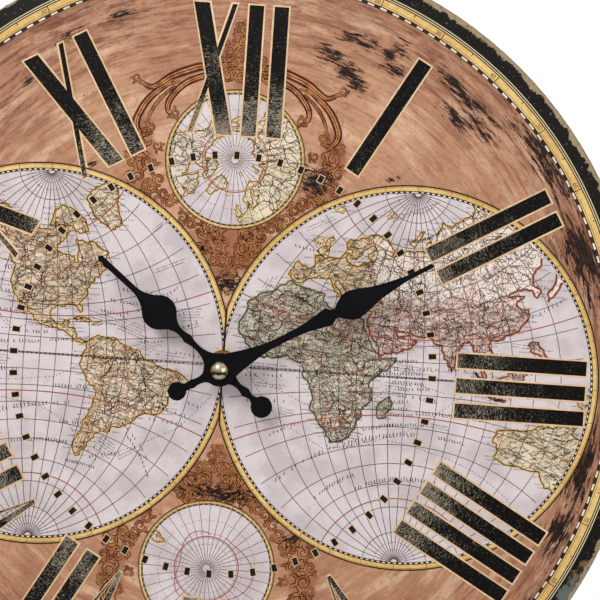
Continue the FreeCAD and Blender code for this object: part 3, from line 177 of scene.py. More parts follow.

# Coasts as longitude and latitude, drawn from a common school atlas
LANDS = {
    "north_america": (
        (-168, 65.6), (-162, 70), (-156, 71.2), (-141, 69.7), (-128, 70.2), (-115, 68.5), (-108, 68),
        (-95, 68.5), (-95, 72), (-88, 68.5), (-82, 69.5), (-82, 66.5), (-87, 64), (-94, 61), (-94, 58.5),
        (-88, 56.7), (-82, 55.2), (-82, 52), (-79, 51.5), (-79, 55), (-77, 59), (-78, 62.3), (-72, 61.5),
        (-69, 59), (-65, 59.8), (-61, 56), (-57, 52.5), (-60, 50), (-66, 50), (-69, 48.5), (-64, 49),
        (-61, 46), (-66, 43.8), (-70, 43), (-70.5, 41.7), (-74, 40.5), (-76, 37), (-75.7, 35.2),
        (-79, 33), (-81.3, 31), (-80, 26), (-81.3, 25.3), (-83, 29), (-85, 29.8), (-89, 30.2), (-90, 29),
        (-94, 29.5), (-97.3, 27.5), (-97.7, 22.5), (-95.5, 18.8), (-91.5, 18.5), (-90, 21), (-87, 21.5),
        (-88.2, 17), (-84, 15.8), (-83.4, 11), (-80, 9.2), (-77.4, 8.6), (-80, 7.4), (-85, 10), (-88, 13),
        (-94, 16), (-102, 18), (-105.5, 20.5), (-106.5, 23.5), (-112.5, 30), (-114.7, 31.5), (-109.8, 23),
        (-112.5, 25.5), (-115, 29), (-117.2, 32.7), (-120.6, 34.7), (-124, 40), (-124.2, 46), (-123, 49),
        (-128, 51), (-132, 56), (-140, 59.8), (-147, 60.8), (-152, 59), (-158, 56.5), (-164, 54.6),
        (-158, 58.6), (-165, 61), (-161, 64.2),
    ),
    "baffin": (
        (-100, 70), (-95, 76), (-80, 77.5), (-68, 74), (-62, 69), (-64, 64), (-72, 64.5), (-78, 68.5),
        (-87, 69.8),
    ),
    "greenland": (
        (-52, 72), (-47.3, 75.5), (-33.8, 75), (-23.8, 72.5), (-23.8, 68), (-35.6, 66), (-40.3, 62),
        (-42.6, 59.3), (-49.6, 60), (-51.2, 64), (-53.6, 68),
    ),
    "south_america": (
        (-77.4, 8.6), (-74, 11), (-71.5, 12.2), (-67, 10.6), (-62, 10.6), (-60, 8.4), (-57, 6),
        (-51.5, 4.2), (-50, 0.2), (-44, -2.6), (-38.5, -3.8), (-35, -6.5), (-35.2, -9.5), (-39, -13.5),
        (-39.5, -18), (-41, -22), (-46, -24), (-48.7, -28), (-53, -33.5), (-57, -34.7), (-57, -37.5),
        (-62, -39), (-65, -41.5), (-63.7, -42.5), (-67, -46), (-66, -48), (-69, -51), (-68.4, -53),
        (-71, -54), (-75, -51), (-75.5, -47), (-73.5, -41.8), (-73.5, -37), (-71.5, -32), (-70.5, -25),
        (-70.2, -18.5), (-76, -14), (-79.5, -8), (-81.2, -5), (-80, -2.3), (-80, 1), (-77.5, 4),
    ),
    "cuba": ((-85, 21.9), (-82, 23.2), (-77, 21.7), (-74.3, 20.2), (-77.5, 19.9), (-80, 21.6)),
    "hispaniola": ((-74.3, 18.5), (-73, 19.9), (-70, 19.7), (-68.4, 18.6), (-71.5, 17.7)),
    "chukotka": (
        (158, 70.5), (172, 69.8), (180, 68.8), (190, 66.2), (186, 64.5), (179.5, 62.5), (171, 60.2),
        (163.5, 59), (162, 56), (159, 53), (156, 58), (157, 64),
    ),
    "new_zealand": (
        (172.7, -34.4), (178.5, -37.8), (175, -41.6), (171, -45.8), (168, -46.6), (166.5, -45.8),
        (172.6, -40.6),
    ),
    "africa": (
        (-6, 35.8), (-1, 35.3), (5, 36.8), (10.5, 37.3), (11, 34), (15.5, 32.3), (20, 31), (22, 32.8),
        (25, 31.7), (30, 31.4), (32.4, 31.2), (33.5, 28), (35.5, 24), (37.3, 20.5), (38.8, 17.5),
        (41.5, 14), (43.3, 12), (45, 10.6), (51, 11.8), (50.5, 9), (48, 4.8), (44, 1), (41, -2),
        (39, -5.5), (40.5, -11), (40.5, -15), (36.5, -18.5), (34.8, -20.5), (35.5, -24), (32.8, -26),
        (31, -31), (27, -35), (22, -36), (18.5, -35.6), (17.5, -31), (15, -26), (14.3, -22), (12, -17.5),
        (13.5, -12), (12.5, -6.5), (9.5, -2.5), (9.5, 1.5), (9.2, 4), (6, 4.3), (3, 6.3), (-2, 4.8),
        (-7.5, 4.4), (-11.5, 6.8), (-14, 9.8), (-16.8, 12.5), (-17.3, 14.8), (-16.2, 19), (-17, 21.5),
        (-14.5, 26), (-10, 29.5), (-9.5, 31.5),
    ),
    "madagascar": ((49.3, -12), (50.4, -15.8), (47.5, -24.8), (44.2, -25.2), (43.5, -22), (44.3, -16.5)),
    "eurasia": (
        (-9, 38.7), (-8.8, 43), (-2, 43.4), (-1.2, 46), (-4.5, 48.4), (1.5, 50.2), (4, 52), (8, 53.8),
        (8.5, 57), (10.7, 57.6), (10.5, 55), (14, 54.2), (19, 54.5), (21.5, 57.5), (24, 58), (28, 59.6),
        (23, 60), (21.3, 61.5), (25, 65), (22, 65.6), (17.5, 62.2), (17.5, 60.2), (16, 57), (12.8, 55.6),
        (11.2, 59), (8, 58), (5.2, 59.5), (5, 62), (10, 64), (14.5, 68), (20, 70), (27, 71), (33, 69.5),
        (41, 67), (38.5, 64.5), (44, 66), (46, 68.2), (54, 68.5), (60, 69), (67, 68.8), (68, 72),
        (73, 72.8), (74, 68), (78, 72), (87, 75), (98, 76), (105, 77.5), (113, 74), (122, 73), (130, 71),
        (140, 72.5), (152, 71), (162, 69.5), (172, 69.8), (180, 68.8), (190, 66.2), (186, 64.5),
        (179.5, 62.5), (171, 60.2), (163.5, 59), (162, 56), (157, 51), (155.5, 56), (160, 60), (163, 62),
        (155, 59.4), (143, 59.3), (135, 54.7), (141, 52.5), (140, 48), (135, 43.5), (130, 42.5),
        (127.5, 39.5), (129.3, 36), (126.5, 34.5), (126, 38), (121.5, 39.5), (121.5, 41), (118, 39),
        (122.3, 37), (119.3, 35), (121.8, 31.5), (121, 28), (117, 23.5), (111, 21.2), (108, 21.6),
        (106, 19), (109, 13), (106.5, 10), (105, 8.8), (104.5, 10.5), (101, 13), (99.5, 10), (103.5, 4),
        (104, 1.4), (101, 3), (98.3, 8), (98.5, 14), (97, 17), (94.4, 16), (94, 19), (91.8, 22.3),
        (87, 21.5), (82, 16.5), (80, 12), (79.8, 8.3), (77.5, 5), (75.5, 10), (73, 16.5), (72.7, 20.5),
        (70, 21), (67, 24.8), (61.5, 25.2), (57, 26.9), (51.5, 27.8), (48.5, 30), (50.2, 26.5),
        (51.5, 24.5), (56.2, 26), (56.7, 24.2), (59.7, 22.4), (57.7, 19), (52, 15.6), (45, 12.8),
        (43.4, 12.7), (42.5, 16.5), (39, 21.5), (35.2, 28), (34.9, 29.5), (34.4, 31.4), (35.9, 35),
        (36, 36.8), (31, 36.6), (27.5, 37), (26.5, 39.5), (29, 41), (35, 42), (41.3, 41.5), (37.5, 44.7),
        (39, 47.2), (35, 46.3), (33.5, 44.5), (31, 46.6), (28.7, 44.5), (28, 41.5), (26, 40.8),
        (23, 40.5), (24, 38), (22.8, 36.5), (20, 39.5), (19.5, 42), (15, 44.5), (13.5, 45.7),
        (12.4, 44.5), (14, 42.3), (18.4, 40), (16, 38), (15.8, 40), (12.3, 41.8), (9, 44.3), (6, 43.2),
        (3.2, 43), (3.2, 41.8), (-0.3, 39.3), (-2, 36.8), (-5.5, 36.1), (-8.9, 37),
    ),
    "britain": (
        (-5, 50), (1.3, 51.2), (0.3, 53), (-3, 55.8), (-2, 57.6), (-5, 58.6), (-5, 55), (-3.2, 53.4),
        (-5, 52),
    ),
    "ireland": ((-10, 51.6), (-6.3, 52.2), (-5.6, 54.6), (-8, 55.2), (-10, 54)),
    "iceland": ((-22.5, 64), (-18.5, 63.4), (-13.7, 65), (-16, 66.4), (-22.5, 66.2)),
    "novaya_zemlya": ((51.5, 71.5), (55, 73.5), (61, 76), (68, 77), (60, 73.5), (56.5, 70.7)),
    "svalbard": ((14, 77), (22, 78.5), (20, 80.3), (11, 79.6)),
    "ceylon": ((79.9, 9.5), (81.8, 7.5), (80.6, 6), (79.9, 7.5)),
    "sumatra": ((95.3, 5.5), (100, 2.5), (104, -1.5), (106, -5.8), (102, -4), (98.5, 1.5)),
    "java": ((105.2, -6.6), (110, -6.6), (114.5, -7.7), (114, -8.6), (108, -7.8)),
    "borneo": ((109.2, 1.5), (113, 3.2), (117, 7), (119, 5), (117.5, 0), (116, -4), (110.5, -3)),
    "celebes": ((119.5, -5.5), (120.5, -1), (125, 1.5), (121, 0.4), (123, -4.5), (121, -3)),
    "new_guinea": (
        (131, -0.8), (134, -3), (138, -1.7), (144, -4), (150.5, -10.5), (146, -8.8), (142, -9.2),
        (138, -8), (135, -4.3),
    ),
    "philippines": (
        (120.5, 18.5), (122.2, 18), (124, 12.5), (126.3, 8), (123, 7.5), (122, 13), (120, 15),
    ),
    "japan": (
        (130, 31.5), (136, 34), (140.5, 35.5), (142, 40), (145, 43.5), (141.5, 45.3), (140, 40.5),
        (136, 36.5), (131, 34),
    ),
    "australia": (
        (113.8, -22.5), (117, -20.7), (122, -18), (126, -14.2), (129.5, -15), (131, -12), (136.5, -12),
        (135.5, -15), (140.5, -17.5), (142.3, -11), (145.5, -15), (148, -20), (153, -25.5), (152.5, -32),
        (150, -37.5), (144, -38.5), (140, -38), (138, -34), (135.5, -34.8), (131, -31.5), (124, -33.3),
        (118, -35), (115, -34.2), (115.6, -31), (113.5, -26),
    ),
    "tasmania": ((144.8, -40.8), (148.3, -41), (147.8, -43.3), (146, -43.5)),
}
WEST_LANDS = (
    "north_america", "baffin", "greenland", "south_america", "cuba", "hispaniola", "chukotka",
    "new_zealand",
)
EAST_LANDS = tuple(name for name in LANDS if name not in WEST_LANDS)
NORTH_LANDS = (
    "north_america", "baffin", "greenland", "eurasia", "britain", "ireland", "iceland", "novaya_zemlya",
    "svalbard",
)

# Dotted ship routes at sea, as longitude and latitude
ROUTES = {
    "west": (
        ((-82, -4), (-100, -14), (-125, -17), (-150, -16), (-175, -14), (-195, -12)),
        ((-76, -50), (-85, -40), (-105, -33), (-130, -28), (-165, -20)),
        ((-106, 20), (-130, 14), (-160, 12), (-195, 13)),
        ((-60, -52), (-45, -40), (-30, -25), (-22, -10)),
        ((-60, 30), (-45, 20), (-30, 8), (-22, 2)),
    ),
    "east": (
        ((-15, 20), (-12, 0), (0, -22), (18, -38), (45, -40), (80, -30), (105, -8)),
        ((20, -37), (42, -22), (58, -8), (72, 8)),
        ((-16, 2), (0, -8), (20, -20), (22, -36)),
        ((60, -6), (70, -2), (95, -8)),
        ((60, -38), (90, -42), (120, -44), (150, -46)),
    ),
}
# Rows of marks at sea: start longitude and latitude, count, rise from mark to mark and size
SEA_ROWS = {
    "west": (
        (-178, 34, 26, 0.0, 1.3), (-172, -8, 22, -0.2, 1.2), (-160, -38, 30, 0.3, 1.3),
        (-58, 34, 10, -0.9, 1.2), (-140, 46, 14, 0.2, 1.1), (-140, 5, 16, 0.1, 1.0),
        (-62, 22, 9, 0.2, 1.0), (-40, -20, 7, 0.0, 1.0), (-150, 22, 16, 0.2, 1.0),
        (-128, -52, 20, 0.1, 1.2), (-100, -20, 12, 0.1, 1.0), (-168, 60, 8, 0.3, 0.9),
        (-54, -32, 12, -0.8, 1.0), (-50, -36, 12, -0.8, 1.0), (-40, 12, 8, 0.3, 0.9),
        (-46, 16, 9, 0.3, 0.9), (-44, 26, 9, 0.3, 0.9), (-46, 22, 8, 0.3, 0.9), (-66, 30, 12, -0.5, 0.9),
        (-52, 8, 7, 0.0, 0.8), (-40, 4, 8, -0.3, 0.9), (-34, -14, 6, -0.3, 0.9), (-42, -26, 8, 0.4, 1.0),
        (-80, -58, 14, 0.2, 0.9), (-64, -52, 10, 0.8, 0.9), (-120, 12, 9, 0.1, 0.9),
        (-88, 20, 6, 0.2, 0.8), (-74, 26, 9, -0.6, 0.9), (-104, 8, 9, 0.1, 0.9), (-92, -40, 9, 0.2, 0.9),
    ),
    "east": (
        (-12, -42, 40, 0.2, 1.25), (30, -60, 30, 0.1, 1.3), (60, 4, 12, 0.1, 1.2),
        (66, -12, 11, -0.2, 1.2), (78, -22, 20, 0.1, 1.1), (60, 72, 30, 0.1, 1.0), (142, 28, 8, 0.2, 1.0),
        (-12, -12, 8, -0.3, 1.1), (95, -34, 10, 0.0, 0.9), (88, 5, 10, 0.1, 1.0), (0, -55, 16, 0.1, 1.1),
        (58, -30, 16, 0.1, 0.9), (62, -4, 12, 0.0, 0.9), (64, -8, 13, 0.1, 0.9), (60, -16, 9, 0.1, 0.9),
        (58, -20, 9, 0.0, 0.9), (62, 9, 9, 0.1, 0.9), (56, 1, 14, 0.1, 0.9), (60, -24, 12, 0.1, 0.9),
        (44, -32, 12, 0.2, 0.9), (30, -40, 12, 0.2, 0.9), (96, 12, 7, 0.1, 0.9), (128, 4, 9, 0.1, 0.9),
        (120, -4, 10, 0.1, 0.9), (112, -8, 11, 0.1, 0.9), (-10, 52, 7, 0.2, 0.8), (-6, -26, 9, 0.2, 0.9),
        (-14, 4, 7, 0.2, 1.0), (-12, -3, 9, 0.0, 0.9), (-14, 46, 6, 0.6, 0.9), (100, -20, 7, 0.1, 0.9),
    ),
}
# Blocks of small marks at sea in millimetres: left, top, length, rows and lean in degrees
SEA_NOTES = {
    "west": (
        (-18, 21, 10.5, 5, 4), (-30, 36, 13, 2, 24), (-16, 14, 7, 2, 18), (-55, 18, 16, 3, -14),
        (-42, 16, 14, 5, -20), (-35, 8, 13, 4, -14), (-27, 3.4, 12, 3, -4), (-47, -32, 9, 6, -32),
        (-40, -40, 10, 2, 30), (-29, -12, 9, 4, -28), (-92, 15, 10, 2, -38), (-94, -2, 9, 4, -2),
        (-96, -26, 7, 6, -4), (-120, 30, 12, 2, 6), (-126, 12, 14, 2, 2), (-58, 56, 9, 3, 34),
        (-32, 52, 8, 2, 40),
    ),
    "east": (
        (4, 17, 5, 4, 60), (11, 1.5, 18, 3, -3), (14, -6.5, 14, 2, -3), (24, -16, 9, 3, -10),
        (48, -22, 11, 5, -8), (70, 4.5, 14, 3, -5), (66, -3, 11, 5, -4), (62, -12, 8, 3, -6),
        (82, -18, 18, 2, -8), (30, 57, 14, 2, 26), (64, 63, 22, 2, 22), (100, 60, 14, 2, 20),
        (14, 32, 7, 3, 60), (116, 16, 14, 2, -4), (36, 44, 8, 2, 20), (114, 30, 10, 3, -10),
    ),
}

# Screen colours, 0 to 255, of the finishes that are put together in their own functions
COLOURS = {
    "band_black": (18, 15, 13), "rim_cream": (216, 198, 158), "bare_brown": (122, 84, 52),
    "bare_teal": (88, 100, 92), "worn_dark": (124, 104, 80), "worn_light": (172, 152, 120),
    "worn_pits": (84, 60, 38), "dark_outer_ring": (92, 68, 44), "tan": (194, 148, 117), "tan_low": (188, 139, 109),
    "brown": (170, 122, 95), "brown_low": (168, 119, 89), "streak": (118, 72, 50), "glow": (222, 188, 156),
    "stain": (104, 58, 40), "under_ornament": (140, 80, 50), "mottle": (132, 86, 62), "margin": (96, 56, 42),
    "scuff_edge": (104, 60, 44), "pits": (72, 40, 28), "scuff": (20, 15, 13), "ground_grain": (116, 74, 54),
    "fibre": (150, 112, 74), "fibre_dark": (104, 74, 48), "fibre_speck": (186, 150, 104),
    "paper_speckle": (92, 76, 70), "pale_north": (226, 214, 204), "ornament_scuff": (26, 20, 17),
    "cell_body": (52, 54, 60), "cell_body_dark": (40, 42, 48), "cell_collar": (196, 138, 88),
    "cell_collar_dark": (176, 116, 70), "cell_end": (196, 198, 200), "floor": (238, 238, 238),
    "floor_dark": (230, 230, 230), "numeral_black": (12, 9, 8), "numeral_rubbed": (166, 154, 134),
}


def colour(red, green, blue):
    """A screen colour, 0 to 255, as the linear colour that a shader takes."""
    linear = [((v / 255 + 0.055) / 1.055) ** 2.4 if v > 10 else v / 255 / 12.92 for v in (red, green, blue)]
    return tuple(linear) + (1.0,)


class Finish:
    """A material under construction. Each method adds a node and gives back its output."""

    def __init__(self, name, roughness, metallic=0.0, sheen=0.12):
        self.material = bpy.data.materials.new(name)
        self.material.use_nodes = True
        self.tree = self.material.node_tree
        self.shader = self.tree.nodes["Principled BSDF"]
        self.shader.inputs["Roughness"].default_value = roughness
        self.shader.inputs["Metallic"].default_value = metallic
        self.shader.inputs["Specular IOR Level"].default_value = sheen
        self.place = self.add("TexCoord").outputs["Object"]

    def add(self, kind, **settings):
        made = self.tree.nodes.new("ShaderNode" + kind)
        for key, value in settings.items():
            setattr(made, key, value)
        return made

    def feed(self, socket, value):
        if isinstance(value, bpy.types.NodeSocket):
            self.tree.links.new(value, socket)
        else:
            socket.default_value = value

    def fed(self, made, **values):
        """Feeds the named inputs of a node and gives back the node."""
        for key, value in values.items():
            self.feed(made.inputs[key], value)
        return made

    def sum(self, operation, first, second=0.0, third=0.0):
        """One step of arithmetic on values or sockets."""
        made = self.add("Math", operation=operation)
        for socket, value in zip(made.inputs, (first, second, third)):
            self.feed(socket, value)
        return made.outputs[0]

    def times(self, first, second):
        return self.sum("MULTIPLY", first, second)

    def scaled(self, value, gain, shift):
        return self.sum("MULTIPLY_ADD", value, gain, shift)

    def rise(self, value, low, high):
        """0 below low, 1 above high and a smooth rise between; high below low turns it round."""
        made = self.add("MapRange", interpolation_type="SMOOTHSTEP")
        for socket, setting in zip(made.inputs, (value, low, high)):
            self.feed(socket, setting)
        return made.outputs[0]

    def mix(self, share, first, second):
        """The first tone where share is 0 and the second where it's 1; a name stands for its colour."""
        made = self.add("Mix", data_type="RGBA")
        for number, value in ((0, share), (6, first), (7, second)):
            self.feed(made.inputs[number], colour(*COLOURS[value]) if isinstance(value, str) else value)
        return made.outputs[2]

    def over(self, tone, share, name, strength=None):
        """Lays a named colour over the tone where share is high."""
        return self.mix(share if strength is None else self.times(share, strength), tone, name)

    def grain(self, vector, scale, detail, roughness):
        made = self.add("TexNoise")
        return self.fed(made, Vector=vector, Scale=scale, Detail=detail, Roughness=roughness).outputs[0]

    def noise(self, scale, detail, roughness, stretch=(1, 1, 1), shift=0.0):
        placed = self.fed(self.add("Mapping"), Vector=self.place, Location=(shift,) * 3, Scale=stretch)
        return self.grain(placed.outputs[0], scale, detail, roughness)

    def spots(self, scale, detail, roughness, low, high, shift=0.0):
        """Noise cut into soft-edged spots between two limits."""
        return self.rise(self.noise(scale, detail, roughness, shift=shift), low, high)

    def dial_vector(self):
        """The place on the dial in millimetres from its middle."""
        middle = (-DIAL_X / MM, 0, -DIAL_Z / MM)
        placed = self.fed(self.add("Mapping"), Vector=self.place, Location=middle, Scale=(1 / MM, 0, 1 / MM))
        return placed.outputs[0]

    def parts(self, vector):
        made = self.add("SeparateXYZ")
        self.feed(made.inputs[0], vector)
        return made.outputs

    def dial_parts(self):
        outputs = self.parts(self.dial_vector())
        return outputs[0], outputs[2]

    def vector_math(self, operation, first, second=None):
        made = self.add("VectorMath", operation=operation)
        self.feed(made.inputs[0], first)
        if second is not None:
            self.feed(made.inputs["Scale" if operation == "SCALE" else 1], second)
        return made.outputs["Value" if operation == "LENGTH" else 0]

    def radius(self):
        """Distance from the middle of the dial, in millimetres."""
        return self.vector_math("LENGTH", self.dial_vector())

    def swirl(self, length, width, detail, roughness, shift=0.0):
        """Noise drawn out along the rim: its marks are about this long and this wide, in millimetres."""
        around = self.vector_math("NORMALIZE", self.dial_vector())
        scaled = self.vector_math("SCALE", around, STREAK_RADIUS / length)
        across = self.fed(self.add("CombineXYZ"), Y=self.scaled(self.radius(), 1 / width, shift * 10))
        return self.grain(self.vector_math("ADD", scaled, across.outputs[0]), 1.0, detail, roughness)

    def streaks(self, swirl, low, high):
        """Swirled noise cut into soft-edged streaks between two limits."""
        return self.rise(self.swirl(*swirl), low, high)

    def patch(self, x, y, length, width, turn):
        """1 in the middle of a long spot on the dial, 0 at its edge; turn is its lean in degrees."""
        placed = self.fed(
            self.add("Mapping", vector_type="TEXTURE"), Vector=self.dial_vector(), Location=(x, 0, y),
            Rotation=(0, math.radians(-turn), 0), Scale=(length / 2, 1, width / 2),
        )
        return self.sum("SUBTRACT", 1.0, self.vector_math("LENGTH", placed.outputs[0]))

    def patches(self, places):
        """The highest of several patches at each spot."""
        reach = -1.0
        for place in places:
            reach = self.sum("MAXIMUM", reach, self.patch(*place))
        return reach

    def torn(self):
        """Above 0 where the old print is scuffed through to black, in ragged patches."""
        reach = self.scaled(self.patches(SCUFFS), SCUFF_REACH, -SCUFF_LIMIT)
        return self.scaled(self.swirl(*SCUFF_MARKS), SCUFF_GAIN, reach)

    def bump(self, height, distance, strength):
        made = self.fed(self.add("Bump"), Height=height, Distance=distance, Strength=strength)
        self.feed(self.shader.inputs["Normal"], made.outputs[0])

    def done(self, tone, roughness=None):
        self.feed(self.shader.inputs["Base Color"], tone)
        if roughness is not None:
            self.feed(self.shader.inputs["Roughness"], roughness)
        return self.material


def rim_tone(finish, ground):
    """The rim over the ground colour: fine lines, a scratched black band and bare paper at the edge."""
    radius = finish.radius()
    tone = finish.over(ground, finish.rise(radius, GOLD_OUTER - 0.1, GOLD_OUTER + 0.1), "band_black")
    for middle in FINE_LINES:
        gap = finish.sum("ABSOLUTE", finish.sum("SUBTRACT", radius, middle))
        tone = finish.over(tone, finish.rise(gap, 0.24, 0.10), "rim_cream")
    flecks = finish.spots(1300, 3.0, 0.75, 0.665, 0.71)
    scratches = finish.streaks((0.7, 1.9, 4.0, 0.7, 2.0), 0.67, 0.71)
    inside = finish.rise(radius, BLACK_BAND_INNER, BLACK_BAND_INNER + 0.4)
    specks = finish.times(finish.sum("MAXIMUM", flecks, scratches), inside)
    tone = finish.over(tone, specks, "rim_cream", 0.75)
    ragged = finish.scaled(finish.noise(110, 6.0, 0.7, shift=7.0), 2.2, -1.4)
    brown = finish.sum("ADD", finish.patch(*BARE_RIM), ragged)
    bare = finish.mix(finish.spots(60, 4.0, 0.6, 0.45, 0.55, 1.1), "bare_brown", "bare_teal")
    tone = finish.mix(finish.times(finish.rise(brown, 0.1, 0.3), inside), tone, bare)
    wander = finish.scaled(finish.swirl(6.0, 8.0, 7.0, 0.72, 3.0), 9.0, RIM_PAPER_START - 4.6)
    across = finish.dial_parts()[0]
    wander = finish.scaled(finish.rise(across, 60.0, -60.0), 1.4, wander)
    worn = finish.rise(finish.sum("SUBTRACT", radius, wander), -0.12, 0.12)
    paper = finish.mix(finish.noise(420, 5.0, 0.6), "worn_dark", "worn_light")
    paper = finish.over(paper, finish.spots(700, 6.0, 0.7, 0.58, 0.66, 3.0), "worn_pits")
    # Darker in a thin ring at the very outer edge of the board
    paper = finish.over(paper, finish.rise(radius, 169.0, 169.8), "dark_outer_ring")
    return finish.mix(worn, tone, paper)


def aged_ground():
    """Tan leather-like paper, streaked along the rim, with dark stains and scuffed black patches."""
    finish = Finish("aged_ground", 0.62)
    radius = finish.radius()
    across, up = finish.dial_parts()
    low = finish.rise(up, 20.0, -150.0)
    light = finish.mix(low, "tan", "tan_low")
    dark = finish.mix(low, "brown", "brown_low")
    tone = finish.mix(finish.spots(22, 5.0, 0.6, 0.36, 0.66), light, dark)
    edge = finish.rise(radius, 96.0, 156.0)
    lines = finish.swirl(16.0, 1.5, 8.0, 0.72)
    tone = finish.over(tone, finish.rise(lines, 0.46, 0.66), "streak", finish.scaled(edge, 0.6, 0.34))
    tone = finish.over(tone, finish.streaks((30.0, 6.0, 5.0, 0.6, 4.0), 0.49, 0.68), "glow", 0.6)
    share = finish.times(finish.scaled(finish.rise(across, 60.0, -90.0), 0.55, 0.42), edge)
    tone = finish.over(tone, finish.streaks((20.0, 3.6, 9.0, 0.78, 6.0), 0.49, 0.60), "stain", share)
    mirrored = [(x, -y, length, width, -turn) for x, y, length, width, turn in ORNAMENT_SHADE]
    ragged = finish.scaled(finish.noise(90, 6.0, 0.7, shift=3.3), 1.6, -0.8)
    shade = finish.sum("ADD", finish.patches(ORNAMENT_SHADE + tuple(mirrored)), ragged)
    tone = finish.over(tone, finish.rise(shade, 0.05, 0.5), "under_ornament", 0.6)
    tone = finish.over(tone, finish.spots(330, 7.0, 0.78, 0.50, 0.66, 5.5), "mottle", 0.42)
    streaked = finish.streaks((11.0, 3.0, 8.0, 0.76, 8.0), 0.44, 0.62)
    tone = finish.over(tone, finish.times(finish.rise(radius, 128.0, 158.0), streaked), "margin", 0.6)
    torn = finish.torn()
    tone = finish.over(tone, finish.rise(torn, -0.16, 0.02), "scuff_edge", 0.55)
    tone = finish.over(tone, finish.spots(620, 3.0, 0.7, 0.68, 0.72, 2.2), "pits", 0.75)
    tone = finish.over(tone, finish.rise(torn, 0.0, 0.02), "scuff")
    grain = finish.noise(1500, 4.0, 0.75)
    tone = finish.over(tone, finish.rise(grain, 0.42, 0.72), "ground_grain", 0.3)
    finish.bump(grain, 0.00006, 0.4)
    return finish.done(rim_tone(finish, tone), finish.scaled(lines, 0.2, 0.46))


def board_fibre():
    """Pressed wood fibre: worn paper on the rounded front edge, raw brown board behind it."""
    finish = Finish("board_fibre", 0.85)
    fibres = finish.noise(900, 6.0, 0.7, stretch=(1, 4, 1))
    raw = finish.mix(finish.rise(fibres, 0.35, 0.7), "fibre", "fibre_dark")
    raw = finish.over(raw, finish.spots(2600, 3.0, 0.6, 0.66, 0.74, 4.0), "fibre_speck")
    front = finish.rise(finish.parts(finish.place)[1], DIAL_FACE + 2.2 * MM, DIAL_FACE + 1.6 * MM)
    finish.bump(fibres, 0.0002, 0.5)
    return finish.done(finish.mix(front, raw, rim_tone(finish, raw)))


def printed_paper(name, first, second, third, speckle):
    """Aged map paper: two tones in blotches, an optional third as a fine weave, and a faint speckle."""
    finish = Finish(name, 0.6)
    tone = finish.mix(finish.spots(70, 5.0, 0.62, 0.38, 0.66), colour(*first), colour(*second))
    if third:
        tone = finish.mix(finish.spots(620, 5.0, 0.75, 0.50, 0.60, 6.0), tone, colour(*third))
    fine = finish.noise(1900, 3.0, 0.7)
    tone = finish.over(tone, finish.rise(fine, 0.5, 0.8), "paper_speckle", speckle)
    finish.bump(fine, 0.00004, 0.3)
    return finish.done(tone)


def north_to_east(name, ochre, red, weave_ochre, weave_red, paleness):
    """Ochre tones in the north-west of the map that turn pinkish red towards the south and east."""
    finish = Finish(name, 0.6)
    across, up = finish.dial_parts()
    blotch = finish.scaled(finish.noise(60, 5.0, 0.6), 26.0, -13.0)
    share = finish.rise(finish.sum("ADD", finish.scaled(up, -1.3, across), blotch), 8.0, 40.0)
    weave = finish.mix(share, colour(*weave_ochre), colour(*weave_red))
    tone = finish.mix(share, colour(*ochre), colour(*red))
    tone = finish.mix(finish.spots(620, 5.0, 0.75, 0.49, 0.60, 2.0), tone, weave)
    north = finish.rise(finish.sum("ADD", up, finish.times(blotch, 0.4)), 27.0, 37.0)
    pale = finish.times(north, finish.rise(across, 50.0, 66.0))
    tone = finish.over(tone, pale, "pale_north", paleness)
    finish.bump(finish.noise(1900, 3.0, 0.7), 0.00004, 0.3)
    return finish.done(tone)


def worn_ink(name, wear_inner, wear_outer):
    """Printed ink rubbed off in short strokes across the radius, more towards the middle of the dial."""
    finish = Finish(name, 0.6, sheen=0.08)
    rubs = finish.swirl(1.6, 0.27, 6.0, 0.78, 5.0)
    cloud = finish.scaled(finish.noise(75, 4.0, 0.6, shift=8.0), 0.34, -0.17)
    share = finish.rise(finish.radius(), NUMERAL_INNER - 6.0, NUMERAL_OUTER)
    limit = finish.scaled(share, wear_outer - wear_inner, wear_inner)
    limit = finish.scaled(finish.rise(finish.patch(*UNWORN), 0.0, 0.3), 0.06, limit)
    over = finish.sum("SUBTRACT", finish.sum("ADD", rubs, cloud), limit)
    black = colour(*COLOURS["numeral_black"])
    tone = finish.over(black, finish.rise(over, 0.0, 0.03), "numeral_rubbed", 0.85)
    return finish.done(finish.over(tone, finish.spots(2000, 3.0, 0.7, 0.64, 0.70), "numeral_rubbed", 0.5))


def mottled(
    name, first, second, scale, roughness, metallic=0.0, relief=0.00003, stretch=(1, 1, 1), sheen=0.12,
):
    """A finish of two close tones with its roughness and a faint relief from the same grain."""
    finish = Finish(name, roughness, metallic, sheen)
    grain = finish.noise(scale, 6.0, 0.62, stretch=stretch)
    cloud = finish.noise(scale / 12, 3.0, 0.5, shift=4.4)
    both = finish.scaled(cloud, 0.5, finish.times(grain, 0.5))
    tone = finish.mix(finish.rise(both, 0.38, 0.62), colour(*first), colour(*second))
    finish.bump(grain, relief, 0.5)
    return finish.done(tone, finish.scaled(grain, 0.22, roughness - 0.11))


def scuffed_ink(name, first, second):
    """Ornament ink of two tones, black where the ground below is scuffed through."""
    finish = Finish(name, 0.6)
    tone = finish.mix(finish.spots(260, 5.0, 0.65, 0.38, 0.62), colour(*first), colour(*second))
    return finish.done(finish.over(tone, finish.rise(finish.torn(), -0.02, 0.02), "ornament_scuff"))


